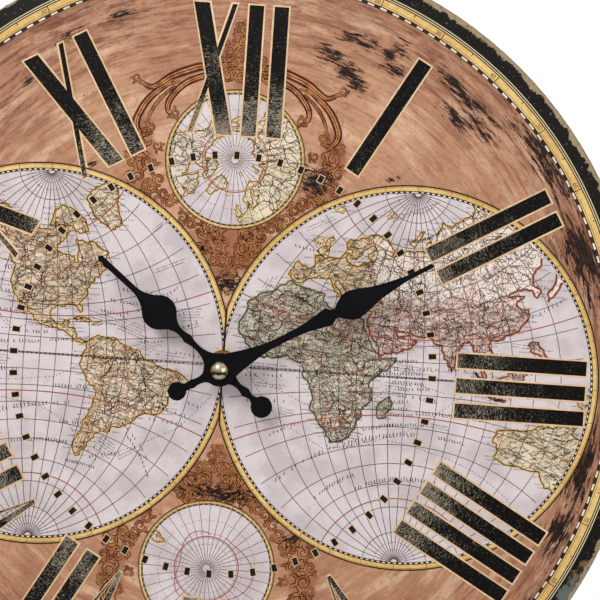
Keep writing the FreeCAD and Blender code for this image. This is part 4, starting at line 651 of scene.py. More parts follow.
def turned_metal(name, first, second, roughness):
    """Lathe-turned or brushed metal: fine rings round the shaft, and small dull spots."""
    finish = Finish(name, roughness, 1.0)
    rings = finish.add("TexNoise", noise_dimensions="1D")
    finish.fed(rings, W=finish.times(finish.radius(), 9.0), Scale=1.0, Detail=4.0)
    spots = finish.spots(700, 4.0, 0.6, 0.5, 0.72)
    dull = colour(*second)
    tone = finish.mix(finish.rise(rings.outputs[0], 0.35, 0.65), colour(*first), dull)
    tone = finish.mix(finish.times(spots, 0.45), tone, dull)
    finish.bump(rings.outputs[0], 0.00002, 0.35)
    return finish.done(tone, finish.scaled(spots, 0.18, roughness))


# Printed inks: two close tones, the scale of their grain and the roughness
INKS = {
    "map_ink": ((34, 22, 17), (54, 38, 30), 900, 0.6),
    "engraving_ink": ((40, 26, 18), (70, 50, 38), 900, 0.6),
    "grid_ink": ((72, 54, 48), (100, 80, 72), 700, 0.6),
    "red_brown_ink": ((160, 88, 66), (136, 70, 52), 600, 0.6),
    "gold_ink": ((222, 188, 122), (200, 160, 92), 420, 0.5),
    "white_ink": ((226, 216, 198), (200, 186, 166), 500, 0.6),
    "cream_ink": ((222, 192, 152), (200, 164, 122), 400, 0.6),
    "ochre_tint": ((214, 182, 112), (190, 150, 78), 350, 0.6),
    "green_tint": ((156, 158, 130), (124, 130, 106), 350, 0.6),
    "minute_black": ((16, 13, 12), (30, 26, 24), 900, 0.6),
}
# Map papers: two tones, an optional third as a weave, and the strength of the speckle
PAPERS = {
    "sea_paper": ((210, 198, 199), (190, 177, 177), None, 0.36),
    "america_paper": ((218, 200, 176), (200, 176, 146), (176, 146, 112), 0.4),
    "africa_paper": ((208, 198, 180), (182, 174, 152), (142, 134, 112), 0.4),
    "southland_paper": ((222, 206, 180), (204, 184, 152), None, 0.4),
    "inset_paper": ((214, 200, 184), (200, 184, 164), None, 0.36),
}
# Ochre and red, the weave on each, and how pale the far north-east is
EURASIA = {
    "eurasia_paper": ((208, 188, 156), (208, 186, 176), (180, 146, 98), (168, 126, 108), 0.85),
    "eurasia_tint": ((208, 168, 92), (186, 118, 96), (190, 150, 70), (162, 92, 74), 0.0),
}
# Two tones of the ornament's ink, and the wear of the numerals at their inner and outer ends
SCROLL_INKS = {
    "scroll_brown": ((88, 40, 18), (52, 23, 11)),
    "scroll_light_brown": ((206, 144, 92), (150, 88, 46)),
}
NUMERAL_WEAR = {"numeral_black": (0.50, 0.665)}
MAKERS = (
    (mottled, INKS), (printed_paper, PAPERS), (north_to_east, EURASIA), (scuffed_ink, SCROLL_INKS),
    (worn_ink, NUMERAL_WEAR),
)
PRINTED = {name: make(name, *values) for make, table in MAKERS for name, values in table.items()}

# Paper and coast tint of the lands; a land that isn't named here has the plain look
PLAIN_LOOK = ("america_paper", "ochre_tint")
LOOKS = {
    ("africa", "madagascar"): ("africa_paper", "green_tint"),
    ("australia", "tasmania", "new_zealand"): ("southland_paper", "ochre_tint"),
    ("eurasia", "novaya_zemlya", "ceylon", "sumatra", "java", "borneo", "celebes", "philippines", "japan"): (
        "eurasia_paper", "eurasia_tint",
    ),
}
LAND_LOOKS = {name: look for names, look in LOOKS.items() for name in names}
NORTH_LOOKS = {name: ("inset_paper", "ochre_tint") for name in NORTH_LANDS}
NORTH_LOOKS["eurasia"] = ("southland_paper", "ochre_tint")
LARGE_LANDS = ("north_america", "south_america", "africa", "eurasia")

# Dotted lines: width, dash and gap
ROUTE_DOTS = (0.26, 0.9, 0.6)
EQUATOR_RUNGS = (0.62, 0.9, 0.9)
POLE_DOTS = (GRID_WIDTH * 1.5, 0.5, 0.5)
INSET_DOTS = (0.22, 0.8, 0.6)
# Points in a circle of a map's border and of the rim, and the degrees between their ticks
BORDER_STEPS = 720
RIM_STEPS = 360
TICK_STEP = 5


def between(first, second, share):
    return (first[0] + (second[0] - first[0]) * share, first[1] + (second[1] - first[1]) * share)


def along(start, distance, angle):
    """The point at a distance from the start, in a direction in radians."""
    return (start[0] + distance * math.cos(angle), start[1] + distance * math.sin(angle))


def polar(middle, radius, degrees):
    """A point at an angle measured clockwise from the top of the dial."""
    angle = math.radians(degrees)
    return (middle[0] + radius * math.sin(angle), middle[1] + radius * math.cos(angle))


def on_ray(degrees, across, out):
    """A point of the dial at an angle clockwise from the top: so far to the side and so far out."""
    sine, cosine = math.sin(math.radians(degrees)), math.cos(math.radians(degrees))
    return (cosine * across + sine * out, cosine * out - sine * across)


def circle(middle, radius, count):
    return [along(middle, radius, 2 * math.pi * i / count) for i in range(count)]


def closed(outline):
    return outline + outline[:1]


def ring_piece(middle, inner, outer, start, end):
    """A piece of a flat ring between two angles in degrees, clockwise from the top."""
    far = [polar(middle, outer, start + (end - start) * share) for share in (0.0, 0.5, 1.0)]
    return far + [polar(middle, inner, end + (start - end) * share) for share in (0.0, 0.5, 1.0)]


def runs(spots):
    """The unbroken stretches of the spots that are flagged as kept."""
    found, current = [], []
    for spot, kept in spots:
        if kept:
            current.append(spot)
        elif current:
            found.append(current)
            current = []
    return found + [current] if current else found


def dashes_along(points, length, gap):
    """Cuts a line into dashes by its length."""
    spots, travelled = [(points[0], True)], 0.0
    for first, second in zip(points, points[1:]):
        step = math.dist(first, second)
        count = max(1, int(step / (length / 3)))
        for i in range(1, count + 1):
            travelled += step / count
            spots.append((between(first, second, i / count), travelled % (length + gap) < length))
    return [run for run in runs(spots) if len(run) > 1]


def penned(lines, width):
    return [(line, width) for line in lines]


def dotted(lines, width, dash, gap):
    return penned([piece for line in lines for piece in dashes_along(line, dash, gap)], width)


def settle(piece, name, level, ink, body="clock"):
    """Turns a drawing in millimetres to face the viewer, puts it at its level and gives it its ink."""
    bpy.ops.object.select_all(action="DESELECT")
    piece.select_set(True)
    bpy.context.view_layer.objects.active = piece
    bpy.ops.object.convert(target="MESH")
    piece = bpy.context.object
    piece.name = name
    upright = Matrix.Rotation(math.radians(90), 4, "X") @ Matrix.Scale(MM, 4)
    piece.data.transform(Matrix.Translation((DIAL_X, DIAL_FACE - LEVELS[level] * MM, DIAL_Z)) @ upright)
    work = bmesh.new()
    work.from_mesh(piece.data)
    work.normal_update()
    bmesh.ops.reverse_faces(work, faces=[face for face in work.faces if face.normal.y > 0])
    work.to_mesh(piece.data)
    work.free()
    piece.data.materials.clear()
    piece.data.materials.append(PRINTED[ink])
    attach(piece, body)


def drawing(name, dimensions):
    bpy.ops.object.select_all(action="DESELECT")
    bpy.ops.curve.primitive_bezier_curve_add(location=(0, 0, 0))
    piece = bpy.context.object
    piece.name = name
    piece.data.splines.clear()
    piece.data.dimensions = dimensions
    return piece


def add_spline(piece, points, lift=0.0):
    spline = piece.data.splines.new("POLY")
    spline.points.add(len(points) - 1)
    for point, (x, y) in zip(spline.points, points):
        point.co = (x, y, lift, 1)
    return spline


def filled(name, outlines, level, ink):
    """Flat shapes filled between their outlines; an outline inside another is a hole."""
    piece = drawing(name, "2D")
    piece.data.fill_mode = "BOTH"
    for outline in outlines:
        add_spline(piece, outline).use_cyclic_u = True
    settle(piece, name, level, ink)


def inked(name, strokes, level, ink):
    """Flat pen strokes: each is a list of points with one width, or a width for each point."""
    piece = drawing(name, "3D")
    piece.data.twist_mode = "Z_UP"
    piece.data.extrude = 0.5
    for number, (points, widths) in enumerate(strokes):
        if len(points) < 2:
            continue
        spline = add_spline(piece, points, number % STROKE_LIFTS * STROKE_LIFT)
        for i, point in enumerate(spline.points):
            point.tilt = math.pi / 2
            point.radius = widths[i] if isinstance(widths, list) else widths
    settle(piece, name, level, ink)


def stretched(longitude, table):
    """The longitude as the old map has it: with the table's degrees, read off between its entries."""
    for (x0, add0), (x1, add1) in zip(table, table[1:]):
        if x0 <= longitude <= x1:
            return longitude + add0 + (add1 - add0) * (longitude - x0) / (x1 - x0)
    return longitude


def equatorial(middle_longitude):
    """A view that lays half the globe on a flat disc whose rim has the radius reach."""
    def project(longitude, latitude, reach):
        turn = math.radians(longitude - middle_longitude)
        rise = math.radians(latitude)
        share = max(1 + math.cos(rise) * math.cos(turn), 0.001)
        return (reach * math.cos(rise) * math.sin(turn) / share, reach * math.sin(rise) / share)

    return project


def polar_view(sign):
    """A view on a pole; sign is 1 for the north and -1 for the south."""
    edge = math.tan(math.radians(90 - INSET_EDGE_LATITUDE) / 2)

    def project(longitude, latitude, reach):
        distance = math.tan(math.radians(90 - sign * latitude) / 2) / edge * reach
        return along((0.0, 0.0), distance, math.radians(sign * longitude + INSET_TURN * sign))

    return project


class MapDisc:
    """One round map: where it is, how large, and how the globe is laid on it."""

    def __init__(self, name, middle, radius, project, side=0):
        self.name = name
        self.side = side
        self.middle = middle
        self.radius = radius
        self.scale = min(1.0, radius / FULL_BORDER_RADIUS)
        self.band_inner = radius - BORDER_BAND * self.scale
        self.reach = self.band_inner - BORDER_DASH * self.scale
        self.project = project

    def place(self, longitude, latitude):
        """Where a place lies and whether it's on the disc; one outside is moved to just past the rim."""
        x, y = self.project(longitude, latitude, self.reach)
        distance = math.hypot(x, y)
        past = distance - self.reach
        factor = (self.reach + min(past * SPILL, SPILL_LIMIT)) / distance if past > 0 else 1.0
        return (x * factor + self.middle[0], y * factor + self.middle[1]), past <= 0

    def on_side(self, outline):
        """The hemispheres meet on the middle line: each keeps to its half, clear of the shaft's hole."""
        if not self.side:
            return outline
        moved = []
        for x, y in outline:
            nearest = max(SEAM, math.sqrt(max(0.0, SHAFT_HOLE ** 2 - y ** 2)))
            moved.append((x, y) if x * self.side > nearest else (self.side * nearest, y))
        return moved

    def line(self, points):
        """The stretches of a line of longitudes and latitudes that lie on the disc."""
        placed = [self.place(*point) for point in points]
        found = runs([(spot, inside and math.hypot(*spot) > SHAFT_HOLE) for spot, inside in placed])
        return [run for run in found if len(run) > 1]


WEST = MapDisc("west", (-HEMISPHERE_OFFSET, -0.2), HEMISPHERE_RADIUS, equatorial(WEST_MIDDLE), -1)
EAST = MapDisc("east", (HEMISPHERE_OFFSET, -0.4), EAST_RADIUS, equatorial(EAST_MIDDLE), 1)
NORTH = MapDisc("north", NORTH_INSET[:2], NORTH_INSET[2], polar_view(1))
SOUTH = MapDisc("south", SOUTH_INSET[:2], SOUTH_INSET[2], polar_view(-1))


def parallels(disc, middle, latitudes, step):
    """Circles of latitude on a hemisphere, with a point at every step of longitude."""
    lines = []
    for latitude in latitudes:
        lines += disc.line([(middle - 180 + i * step, latitude) for i in range(360 // step)])
    return lines


def rough_coast(points, seed):
    """Adds small bays and capes between the points of a coast."""
    dice = random.Random(seed)
    coast = []
    for first, second in zip(points, points[1:] + points[:1]):
        count = max(1, int(math.dist(first, second) / COAST_STEP))
        for i in range(count):
            wobble = COAST_WOBBLE if i else 0.0
            x, y = between(first, second, i / count)
            coast.append((x + dice.uniform(-wobble, wobble) * 1.3, y + dice.uniform(-wobble, wobble)))
    return coast


COASTS = {name: rough_coast(points, name) for name, points in LANDS.items()}


def contains(outline, x, y):
    inside = False
    for (x0, y0), (x1, y1) in zip(outline, outline[1:] + outline[:1]):
        if (y0 > y) != (y1 > y) and x < (x1 - x0) * (y - y0) / (y1 - y0) + x0:
            inside = not inside
    return inside


def draw_lands(disc, names, looks, ink, tint_width, stretch=()):
    """Fills each land, tints the inside of its coast and inks the coast itself."""
    outlines, coasts, tinted = {}, [], {}
    for name in names:
        paper, tint = looks.get(name, PLAIN_LOOK)
        placed = [disc.place(stretched(longitude, stretch), latitude) for longitude, latitude in COASTS[name]]
        outline = [spot for spot, inside in placed]
        outlines[name] = outline
        filled(f"{disc.name}_{name}", [outline], "land", paper)
        size = max(max(values) - min(values) for values in zip(*outline))
        width = min(tint_width, size * TINT_SHARE)
        coast = runs(closed(placed))
        tinted.setdefault(tint, []).extend(penned(coast, width))
        coasts += penned(coast, min(COAST_WIDTH, width * 0.35))
    for number, (tint, strokes) in enumerate(tinted.items()):
        inked(f"{disc.name}_coast_tint_{number}", strokes, "tint", tint)
    inked(f"{disc.name}_coast", coasts, "coast", ink)
    return outlines


def draw_grid(disc, middle):
    """Circles of latitude and meridians every 10 degrees, closer dotted circles round each pole."""
    lines = parallels(disc, middle, range(-80, 81, 10), 4)
    for turn in range(-90, 91, 10):
        lines += disc.line([(middle + turn, latitude) for latitude in range(-89, 90, 2)])
    near_poles = parallels(disc, middle, (-86, -83.5, 83.5, 86), 4)
    strokes = penned(lines, GRID_WIDTH) + dotted(near_poles, *POLE_DOTS)
    inked(f"{disc.name}_grid", strokes, "grid", "grid_ink")


def draw_circles_of_latitude(disc, middle):
    """The equator as a ladder of dashes, the tropics and polar circles in red brown."""
    reds = parallels(disc, middle, (-66.5, -23.5, 23.5, 66.5), 3)
    inked(f"{disc.name}_tropics", penned(reds, RED_CIRCLE_WIDTH), "route", "red_brown_ink")
    edges = penned(parallels(disc, middle, (-0.5, 0.5), 3), THIN_LINE)
    rungs = dotted(parallels(disc, middle, (0.0,), 3), *EQUATOR_RUNGS)
    inked(f"{disc.name}_equator", edges + rungs, "route", "map_ink")


def draw_routes(disc):
    lines = []
    for route in ROUTES[disc.name]:
        path = [between(first, second, i / 8) for first, second in zip(route, route[1:]) for i in range(8)]
        lines += disc.line(path + [route[-1]])
    inked(f"{disc.name}_routes", dotted(lines, *ROUTE_DOTS), "route", "map_ink")


def draw_border(disc, period):
    """The disc's ocean, its gold band between thin lines, and a ladder of black and white dashes inside."""
    radii = (disc.radius, disc.band_inner)
    rim, edge = (disc.on_side(circle(disc.middle, radius, BORDER_STEPS)) for radius in radii)
    filled(f"{disc.name}_ocean", [edge], "ocean", "sea_paper")
    filled(f"{disc.name}_gold_band", [rim, edge], "border", "gold_ink")
    lines = []
    for radius, width in (
        (disc.radius + 0.25, 0.6 * disc.scale), (disc.radius - 0.35 * disc.scale, 0.14),
        (disc.band_inner, 0.3), (disc.reach, 0.24),
    ):
        lines.append((disc.on_side(closed(circle(disc.middle, radius, BORDER_STEPS))), width))
    for degrees in range(0, 360, TICK_STEP):
        inner = disc.radius - 0.7 * disc.scale if degrees % 10 else disc.band_inner
        lines.append(([polar(disc.middle, inner, degrees), polar(disc.middle, disc.radius, degrees)], 0.18))
    inked(f"{disc.name}_border_lines", lines, "border_ink", "map_ink")
    for name, shift, ink in (("black", 0.0, "map_ink"), ("white", 0.5, "white_ink")):
        whole = []
        for i in range(int(360 / period)):
            start = (i + shift) * period
            piece = ring_piece(disc.middle, disc.reach, disc.band_inner, start, start + period / 2)
            if piece == disc.on_side(piece):
                whole.append(piece)
        filled(f"{disc.name}_{name}_dashes", whole, "border", ink)


# Small marks inside the lands: the share of upright marks in rows, and the pitch of a row
UPRIGHT_SHARE = 0.74
UPRIGHT_PITCH = 0.52
# Stride and bend of crooked marks and of rivers, and the widths of the pen strokes
CROOKED_WALK = (0.5, 0.7)
RIVER_WALK = (0.55, 0.6)
UPRIGHT_WIDTH = 0.2
CROOKED_WIDTH = 0.14
RIVER_WIDTHS = (0.2, 0.34)
SEA_MARK_WIDTH = 0.3
FOOT_WIDTH = 0.24
SMALL_MARK_WIDTH = 0.18
# Small marks at sea: the share of gaps in the large rows, the share of marks with a foot, and the share of
# marks in the small rows
SEA_GAP_SHARE = 0.12
FOOT_SHARE = 0.5
SMALL_MARK_SHARE = 0.84
# How far rows keep from the coast and from the disc's border
SHORE_GAP = 0.9


def random_spots(outline, count, dice):
    """Random places inside an outline, the tries in proportion to its size."""
    xs, ys = zip(*outline)
    tries = int((max(xs) - min(xs)) * (max(ys) - min(ys)) * count)
    spots = [(dice.uniform(min(xs), max(xs)), dice.uniform(min(ys), max(ys))) for i in range(tries)]
    return [spot for spot in spots if contains(outline, *spot)]


def wander(start, steps, stride, bend, dice):
    """A line that wanders as a river does."""
    heading, path = dice.uniform(0, 2 * math.pi), [start]
    for i in range(steps):
        heading += dice.uniform(-bend, bend)
        path.append(along(path[-1], stride, heading))
    return path


def engraving(outlines, count, seed):
    """Tiny pen marks inside the lands, in short rows and crooked lines as on an engraved map."""
    dice = random.Random(seed)
    strokes = []
    for outline in outlines.values():
        for start in random_spots(outline, count, dice):
            if dice.random() < UPRIGHT_SHARE:
                turn = dice.choice((0.0, 0.0, 0.5, -0.5)) + dice.uniform(-0.25, 0.25)
                for i in range(dice.randint(3, 8)):
                    x, y = along(start, i * UPRIGHT_PITCH, turn)
                    if contains(outline, x, y):
                        lean = dice.uniform(-0.12, 0.2)
                        tip = (x + lean, y + dice.uniform(0.35, 0.65))
                        strokes.append(([(x, y), tip], UPRIGHT_WIDTH))
            else:
                path = wander(start, dice.randint(3, 8), *CROOKED_WALK, dice)
                strokes.append(([spot for spot in path if contains(outline, *spot)], CROOKED_WIDTH))
    return strokes


def thinned(strokes, seed):
    """Leaves most marks out of the empty north-east of the map."""
    dice = random.Random(seed)
    kept = []
    for points, width in strokes:
        empty = points and points[0][0] > THIN_EAST_OF and points[0][1] > THIN_NORTH_OF
        if not empty or dice.random() <= THIN_SHARE:
            kept.append((points, width))
    return kept


def rivers(outlines, count, seed):
    """Longer wandering lines inside the larger lands: rivers and inland borders."""
    dice = random.Random(seed)
    strokes = []
    for outline in outlines.values():
        for start in random_spots(outline, count, dice):
            path = []
            for spot in wander(start, dice.randint(9, 26), *RIVER_WALK, dice):
                if not contains(outline, *spot):
                    break
                path.append(spot)
            strokes.append((path, dice.uniform(*RIVER_WIDTHS)))
    return strokes


def sea_marks(disc, seed):
    """Rows of short upright marks along curved lines at sea."""
    dice = random.Random(seed)
    strokes = []
    for longitude, latitude, length, slope, size in SEA_ROWS[disc.name]:
        for i in range(length):
            (x, y), inside = disc.place(longitude + i * size * 1.9, latitude + i * slope)
            if inside and dice.random() > SEA_GAP_SHARE:
                lean = dice.uniform(-0.25, 0.25) * size
                tip = (x + lean, y + size * dice.uniform(0.9, 1.35))
                strokes.append(([(x, y), tip], SEA_MARK_WIDTH))
                if dice.random() > FOOT_SHARE:
                    strokes.append(([(x, y), (x + size * 0.6, y + lean)], FOOT_WIDTH))
    return strokes


def small_row(start, length, lean, dice):
    """A row of tiny upright marks with gaps."""
    strokes, travelled = [], 0.0
    while travelled < length:
        if dice.random() < SMALL_MARK_SHARE:
            x, y = along(start, travelled, lean)
            tip = (x + dice.uniform(-0.1, 0.18), y + dice.uniform(0.32, 0.62))
            strokes.append(([(x, y), tip], SMALL_MARK_WIDTH))
        travelled += dice.uniform(0.36, 0.56)
    return strokes


def sea_notes(disc, seed):
    """Blocks of small rows at sea."""
    dice = random.Random(seed)
    strokes = []
    for x, y, length, rows, degrees in SEA_NOTES[disc.name]:
        lean = math.radians(degrees)
        for row in range(rows):
            start = (x + row * ROW_PITCH * math.sin(lean), y - row * ROW_PITCH * math.cos(lean))
            strokes += small_row(start, length * dice.uniform(0.55, 1.0), lean, dice)
    return strokes


def port_rows(disc, outlines, seed):
    """Short rows of small marks that run out to sea from the coasts."""
    dice = random.Random(seed)
    strokes = []
    for outline in outlines.values():
        travelled = 0.0
        for first, (x1, y1) in zip(outline, outline[1:]):
            travelled += math.dist(first, (x1, y1))
            if travelled < PORT_SPACING:
                continue
            travelled = 0.0
            side = 1 if contains(outline, x1 - 1.0, y1) else -1
            start = x1 + side * SHORE_GAP
            for (low, high), width in small_row((start, y1 - 0.2), dice.uniform(1.6, 4.6), 0.0, dice):
                x, y = start + side * (low[0] - start), low[1]
                far = math.dist((x, y), disc.middle) > disc.reach - SHORE_GAP
                if far or any(contains(other, x, y) for other in outlines.values()):
                    break
                strokes.append(([(x, y), (x + high[0] - low[0], high[1])], width))
    return strokes


# Points between two given ones of a smooth line; turns and points of a curl; points and bend of a leaf,
# and the leaves on a curl
SMOOTH_STEPS = 7
CURL_TURNS = 1.35
CURL_STEPS = 16
LEAF_STEPS = 6
LEAF_BEND = 1.5
LEAF_COUNT = 3


def smooth_path(points):
    """A smooth line through a few points."""
    ends = [points[0]] + list(points) + [points[-1]]
    path = []
    for p0, p1, p2, p3 in zip(ends, ends[1:], ends[2:], ends[3:]):
        for i in range(SMOOTH_STEPS):
            t = i / SMOOTH_STEPS
            path.append(tuple(
                0.5 * (2 * b + (c - a) * t + (2 * a - 5 * b + 4 * c - d) * t * t
                       + (3 * b - a - 3 * c + d) * t ** 3)
                for a, b, c, d in zip(p0, p1, p2, p3)
            ))
    path.append(points[-1])
    return path


def tapered(path, width, start, end):
    """Widths along a stroke: full in the middle and down to a share of that at the start and the end."""
    widths = []
    for i in range(len(path)):
        share = i / (len(path) - 1)
        tail, power = (start, 0.7) if share < 0.5 else (end, 0.9)
        widths.append(width * (tail + (1 - tail) * math.sin(math.pi * share ** power)))
    return widths


def curl(start, size, heading, hand):
    """A leafy spiral that starts wide and winds in."""
    path = []
    for i in range(CURL_STEPS + 1):
        share = i / CURL_STEPS
        radius = size * (1 - share) ** 0.8 + 0.06 * size
        path.append(along(start, radius, heading + hand * share * CURL_TURNS * 2 * math.pi))
    return path


def leaf(root, size, heading):
    """A curved pointed leaf."""
    return [
        along(root, size * i / LEAF_STEPS, heading + (i / LEAF_STEPS - 0.5) * LEAF_BEND)
        for i in range(LEAF_STEPS + 1)
    ]


def flourish(x, y, size, heading, hand):
    """A curl with leaves growing from its back."""
    path = curl((x, y), size, heading, hand)
    strokes = [(path, tapered(path, size * 0.58, 0.9, 0.2))]
    for i in range(LEAF_COUNT):
        angle = heading + hand * (0.4 + i * 0.95)
        path = leaf(along((x, y), size, angle), size * 0.95, angle + hand * 0.9)
        strokes.append((path, tapered(path, size * 0.62, 0.6, 0.1)))
    return strokes


# One side of the pair of C-scrolls over a small map: points and width of each, then its curls as right, up,
# size and heading
SCROLLS = (
    ([(2, 121), (14.6, 119.6), (20.1, 118), (27.6, 114.7), (35, 109.8), (40.7, 112.2)], 3.7),
    ([(9, 117), (15.1, 115.5), (22.5, 111.8), (27.8, 105.4), (28.2, 100.5), (24, 97.5)], 3.0),
    ([(27, 113.4), (35.5, 106), (39.5, 99.7), (40.8, 94.4), (38.1, 90.5), (33.7, 91.6)], 3.3),
    ([(26, 111), (32, 105), (35.4, 99), (36, 95)], 1.6),
    ([(24, 113), (30, 110.5), (33, 107)], 1.3),
)
SCROLL_CURLS = (
    (41.6, 113.2, 1.7, 3.6), (25.4, 99.4, 1.9, 5.2), (34.6, 93.2, 2.1, 4.5), (39.5, 85.5, 3.2, 1.2),
    (35.2, 79.5, 2.8, 2.6), (41.8, 79.5, 2.6, 0.3), (38.6, 73.5, 2.8, 5.0), (34.2, 71.5, 2.2, 3.0),
    (42.6, 88.8, 2.0, 0.8), (31.8, 86.2, 1.8, 2.2),
)
# Rows of curls between a small map and the hub, and above the map: height, places to the side and size
HUB_CURLS = (
    (52.5, (6.6, 11.8), 2.9), (46.8, (5.2, 10.0), 2.7), (41.5, (3.2, 7.0), 2.3), (37, (2.3,), 1.9),
    (33.4, (1.6,), 1.3),
)
TOP_CURLS = (
    (116, (0, 5.6, 11), 2.5), (121, (2.8, 8.4), 2.5), (126, (0, 5.2), 2.5), (131, (2.4,), 2.5),
    (135, (0.0,), 2.5),
)
# Rings of curls round a small map: radius and size of each, and their places in degrees
CURL_RINGS = ((31.8, 2.4), (36.4, 3.0), (41.2, 2.8))
RING_PLACES = range(20, 84, 8)
RING_SEED = 21


def turned(heading, flip):
    """The heading, or its mirror image on the left."""
    return heading if flip > 0 else math.pi - heading


def scroll_frame(flip, sign, middle_x):
    """One side of the pair of C-scrolls over a small map."""
    strokes = []
    for points, width in SCROLLS:
        path = smooth_path([(flip * x + middle_x, sign * y) for x, y in points])
        strokes.append((path, tapered(path, width, 0.5, 0.35)))
    for x, y, size, heading in SCROLL_CURLS:
        strokes += flourish(flip * x + middle_x, sign * y, size, turned(heading, flip) * sign, flip * sign)
    return strokes


def paired_curls(rows, heading, middle_x, sign):
    """Rows of curls, mirrored left and right; one on the middle line stands alone."""
    strokes = []
    for y, places, size in rows:
        for x in places:
            for flip in (-1, 1) if x else (1,):
                spot = (middle_x + flip * x, sign * y)
                strokes += flourish(*spot, size, turned(heading, flip) * sign, flip * sign)
    return strokes


def ring_curls(middle_x, middle_y, sign):
    """Rings of curls round a small map, on the side away from the hub."""
    dice = random.Random(RING_SEED)
    strokes = []
    for degrees in RING_PLACES:
        for ring, size in CURL_RINGS:
            angle = math.radians(degrees + dice.uniform(-2, 2))
            heading = dice.uniform(0, 2 * math.pi)
            for flip in (-1, 1):
                x = middle_x + flip * ring * math.cos(angle)
                y = middle_y - sign * ring * math.sin(angle)
                on_map = math.hypot(abs(x) - HEMISPHERE_OFFSET, y) < HEMISPHERE_RADIUS + size
                if not on_map and abs(x) >= ORNAMENT_GAP:
                    strokes += flourish(x, y, size, turned(heading, flip), flip)
    return strokes


def scrollwork():
    """Scroll and leaf ornament round the two small maps and down to the hub, left and right alike."""
    strokes = []
    for sign, inset in ((1, NORTH_INSET), (-1, SOUTH_INSET)):
        middle_x, middle_y = inset[:2]
        strokes += scroll_frame(-1, sign, middle_x) + scroll_frame(1, sign, middle_x)
        strokes += ring_curls(middle_x, middle_y, sign)
        strokes += paired_curls(HUB_CURLS, 1.1, 0.0, sign)
        strokes += paired_curls(TOP_CURLS, 0.7, middle_x, sign)
    inked("scrollwork", strokes, "scroll", "scroll_brown")
    lights = [(path, [w * 0.42 for w in widths]) for path, widths in strokes]
    inked("scrollwork_light", lights, "scroll_light", "scroll_light_brown")
    lines = [(path, [w * 0.13 for w in widths]) for path, widths in strokes if max(widths) > 0.9]
    inked("scrollwork_lines", lines, "scroll_line", "scroll_brown")


def glyph_bars(word):
    """The strokes of a numeral: their outer and inner place from its left end, width, and if thin."""
    strokes, at = [], 0.0
    pitch = FOUR_PITCH if word == "IIII" else BAR_PITCH
    for before, letter in zip(" " + word, word):
        if before != " ":
            at += pitch if letter == before == "I" else LETTER_TO_BAR[before if letter == "I" else letter]
        if letter == "I":
            strokes.append((at, at, BAR_WIDTH, False))
            continue
        if letter == "X":
            strokes.append((at, at + LETTER_LEAN, BAR_WIDTH * 1.06, False))
            strokes.append((at + LETTER_SPAN, at - 1.5, HAIRLINE_WIDTH, True))
        else:
            strokes.append((at, at + LETTER_SPAN / 2, BAR_WIDTH, False))
            strokes.append((at + LETTER_SPAN, at + LETTER_SPAN / 2 + 0.6, HAIRLINE_WIDTH, True))
        at += LETTER_SPAN
    return strokes, at


def stroke_outline(hour, outer, inner, width, grow, pointed):
    """The four corners of a numeral's stroke on the dial."""
    top, foot = NUMERAL_OUTER + NUMERAL_FITS[hour][1], NUMERAL_INNER + NUMERAL_FITS[hour][2]
    half = width / 2 * math.hypot(1.0, (outer - inner) / (top - foot)) + grow
    tip = half * (POINT_SHARE if pointed else 1.0)
    top_corners = [on_ray(30 * hour, outer + side, top + grow) for side in (-half, half)]
    return top_corners + [on_ray(30 * hour, inner + side, foot - grow) for side in (tip, -tip)]


def draw_numerals():
    shapes = {(thin, outlined): [] for thin in (False, True) for outlined in (False, True)}
    for hour, word in NUMERALS.items():
        strokes, end = glyph_bars(word)
        shift = NUMERAL_FITS[hour][0] - end / 2
        for outer, inner, width, thin in strokes:
            pointed = "V" in word and outer != inner
            for outlined, grow in ((False, 0.0), (True, OUTLINE_WIDTH)):
                corners = stroke_outline(hour, outer + shift, inner + shift, width, grow, pointed)
                shapes[thin, outlined].append(corners)
    filled("numeral_outlines", shapes[False, True], "outline", "cream_ink")
    filled("numeral_hairline_outlines", shapes[True, True], "border_ink", "cream_ink")
    filled("numerals", shapes[False, False], "hairline", "numeral_black")
    filled("numeral_hairlines", shapes[True, False], "numeral", "numeral_black")


def draw_minutes():
    for name, grow, level, ink in (
        ("minute_marks", 0.0, "numeral", "minute_black"),
        ("minute_mark_outlines", MINUTE_OUTLINE, "outline", "cream_ink"),
    ):
        half, deep = MINUTE_WIDTH / 2 + grow, MINUTE_LENGTH / 2 + grow
        corners = ((-half, -deep), (half, -deep), (half, deep), (-half, deep))
        squares = [[on_ray(minute * 6, s, MINUTE_RADIUS + t) for s, t in corners] for minute in range(60)]
        filled(name, squares, level, ink)


def draw_degree_figure(degrees):
    bpy.ops.object.text_add(location=(0, 0, 0))
    figure = bpy.context.object
    figure.data.body = str(90 - abs((degrees % 180) - 90))
    figure.data.size = FIGURE_SIZE
    figure.data.align_x = "RIGHT"
    bpy.ops.object.convert(target="MESH")
    figure = bpy.context.object
    x, y = polar(DIAL_MIDDLE, GOLD_INNER + 0.95, degrees - 0.35)
    turn = Matrix.Rotation(math.radians(-degrees), 4, "Z")
    figure.data.transform(Matrix.Translation((x, y, 0)) @ turn)
    settle(figure, f"degree_figure_{degrees:03d}", "land", "map_ink")


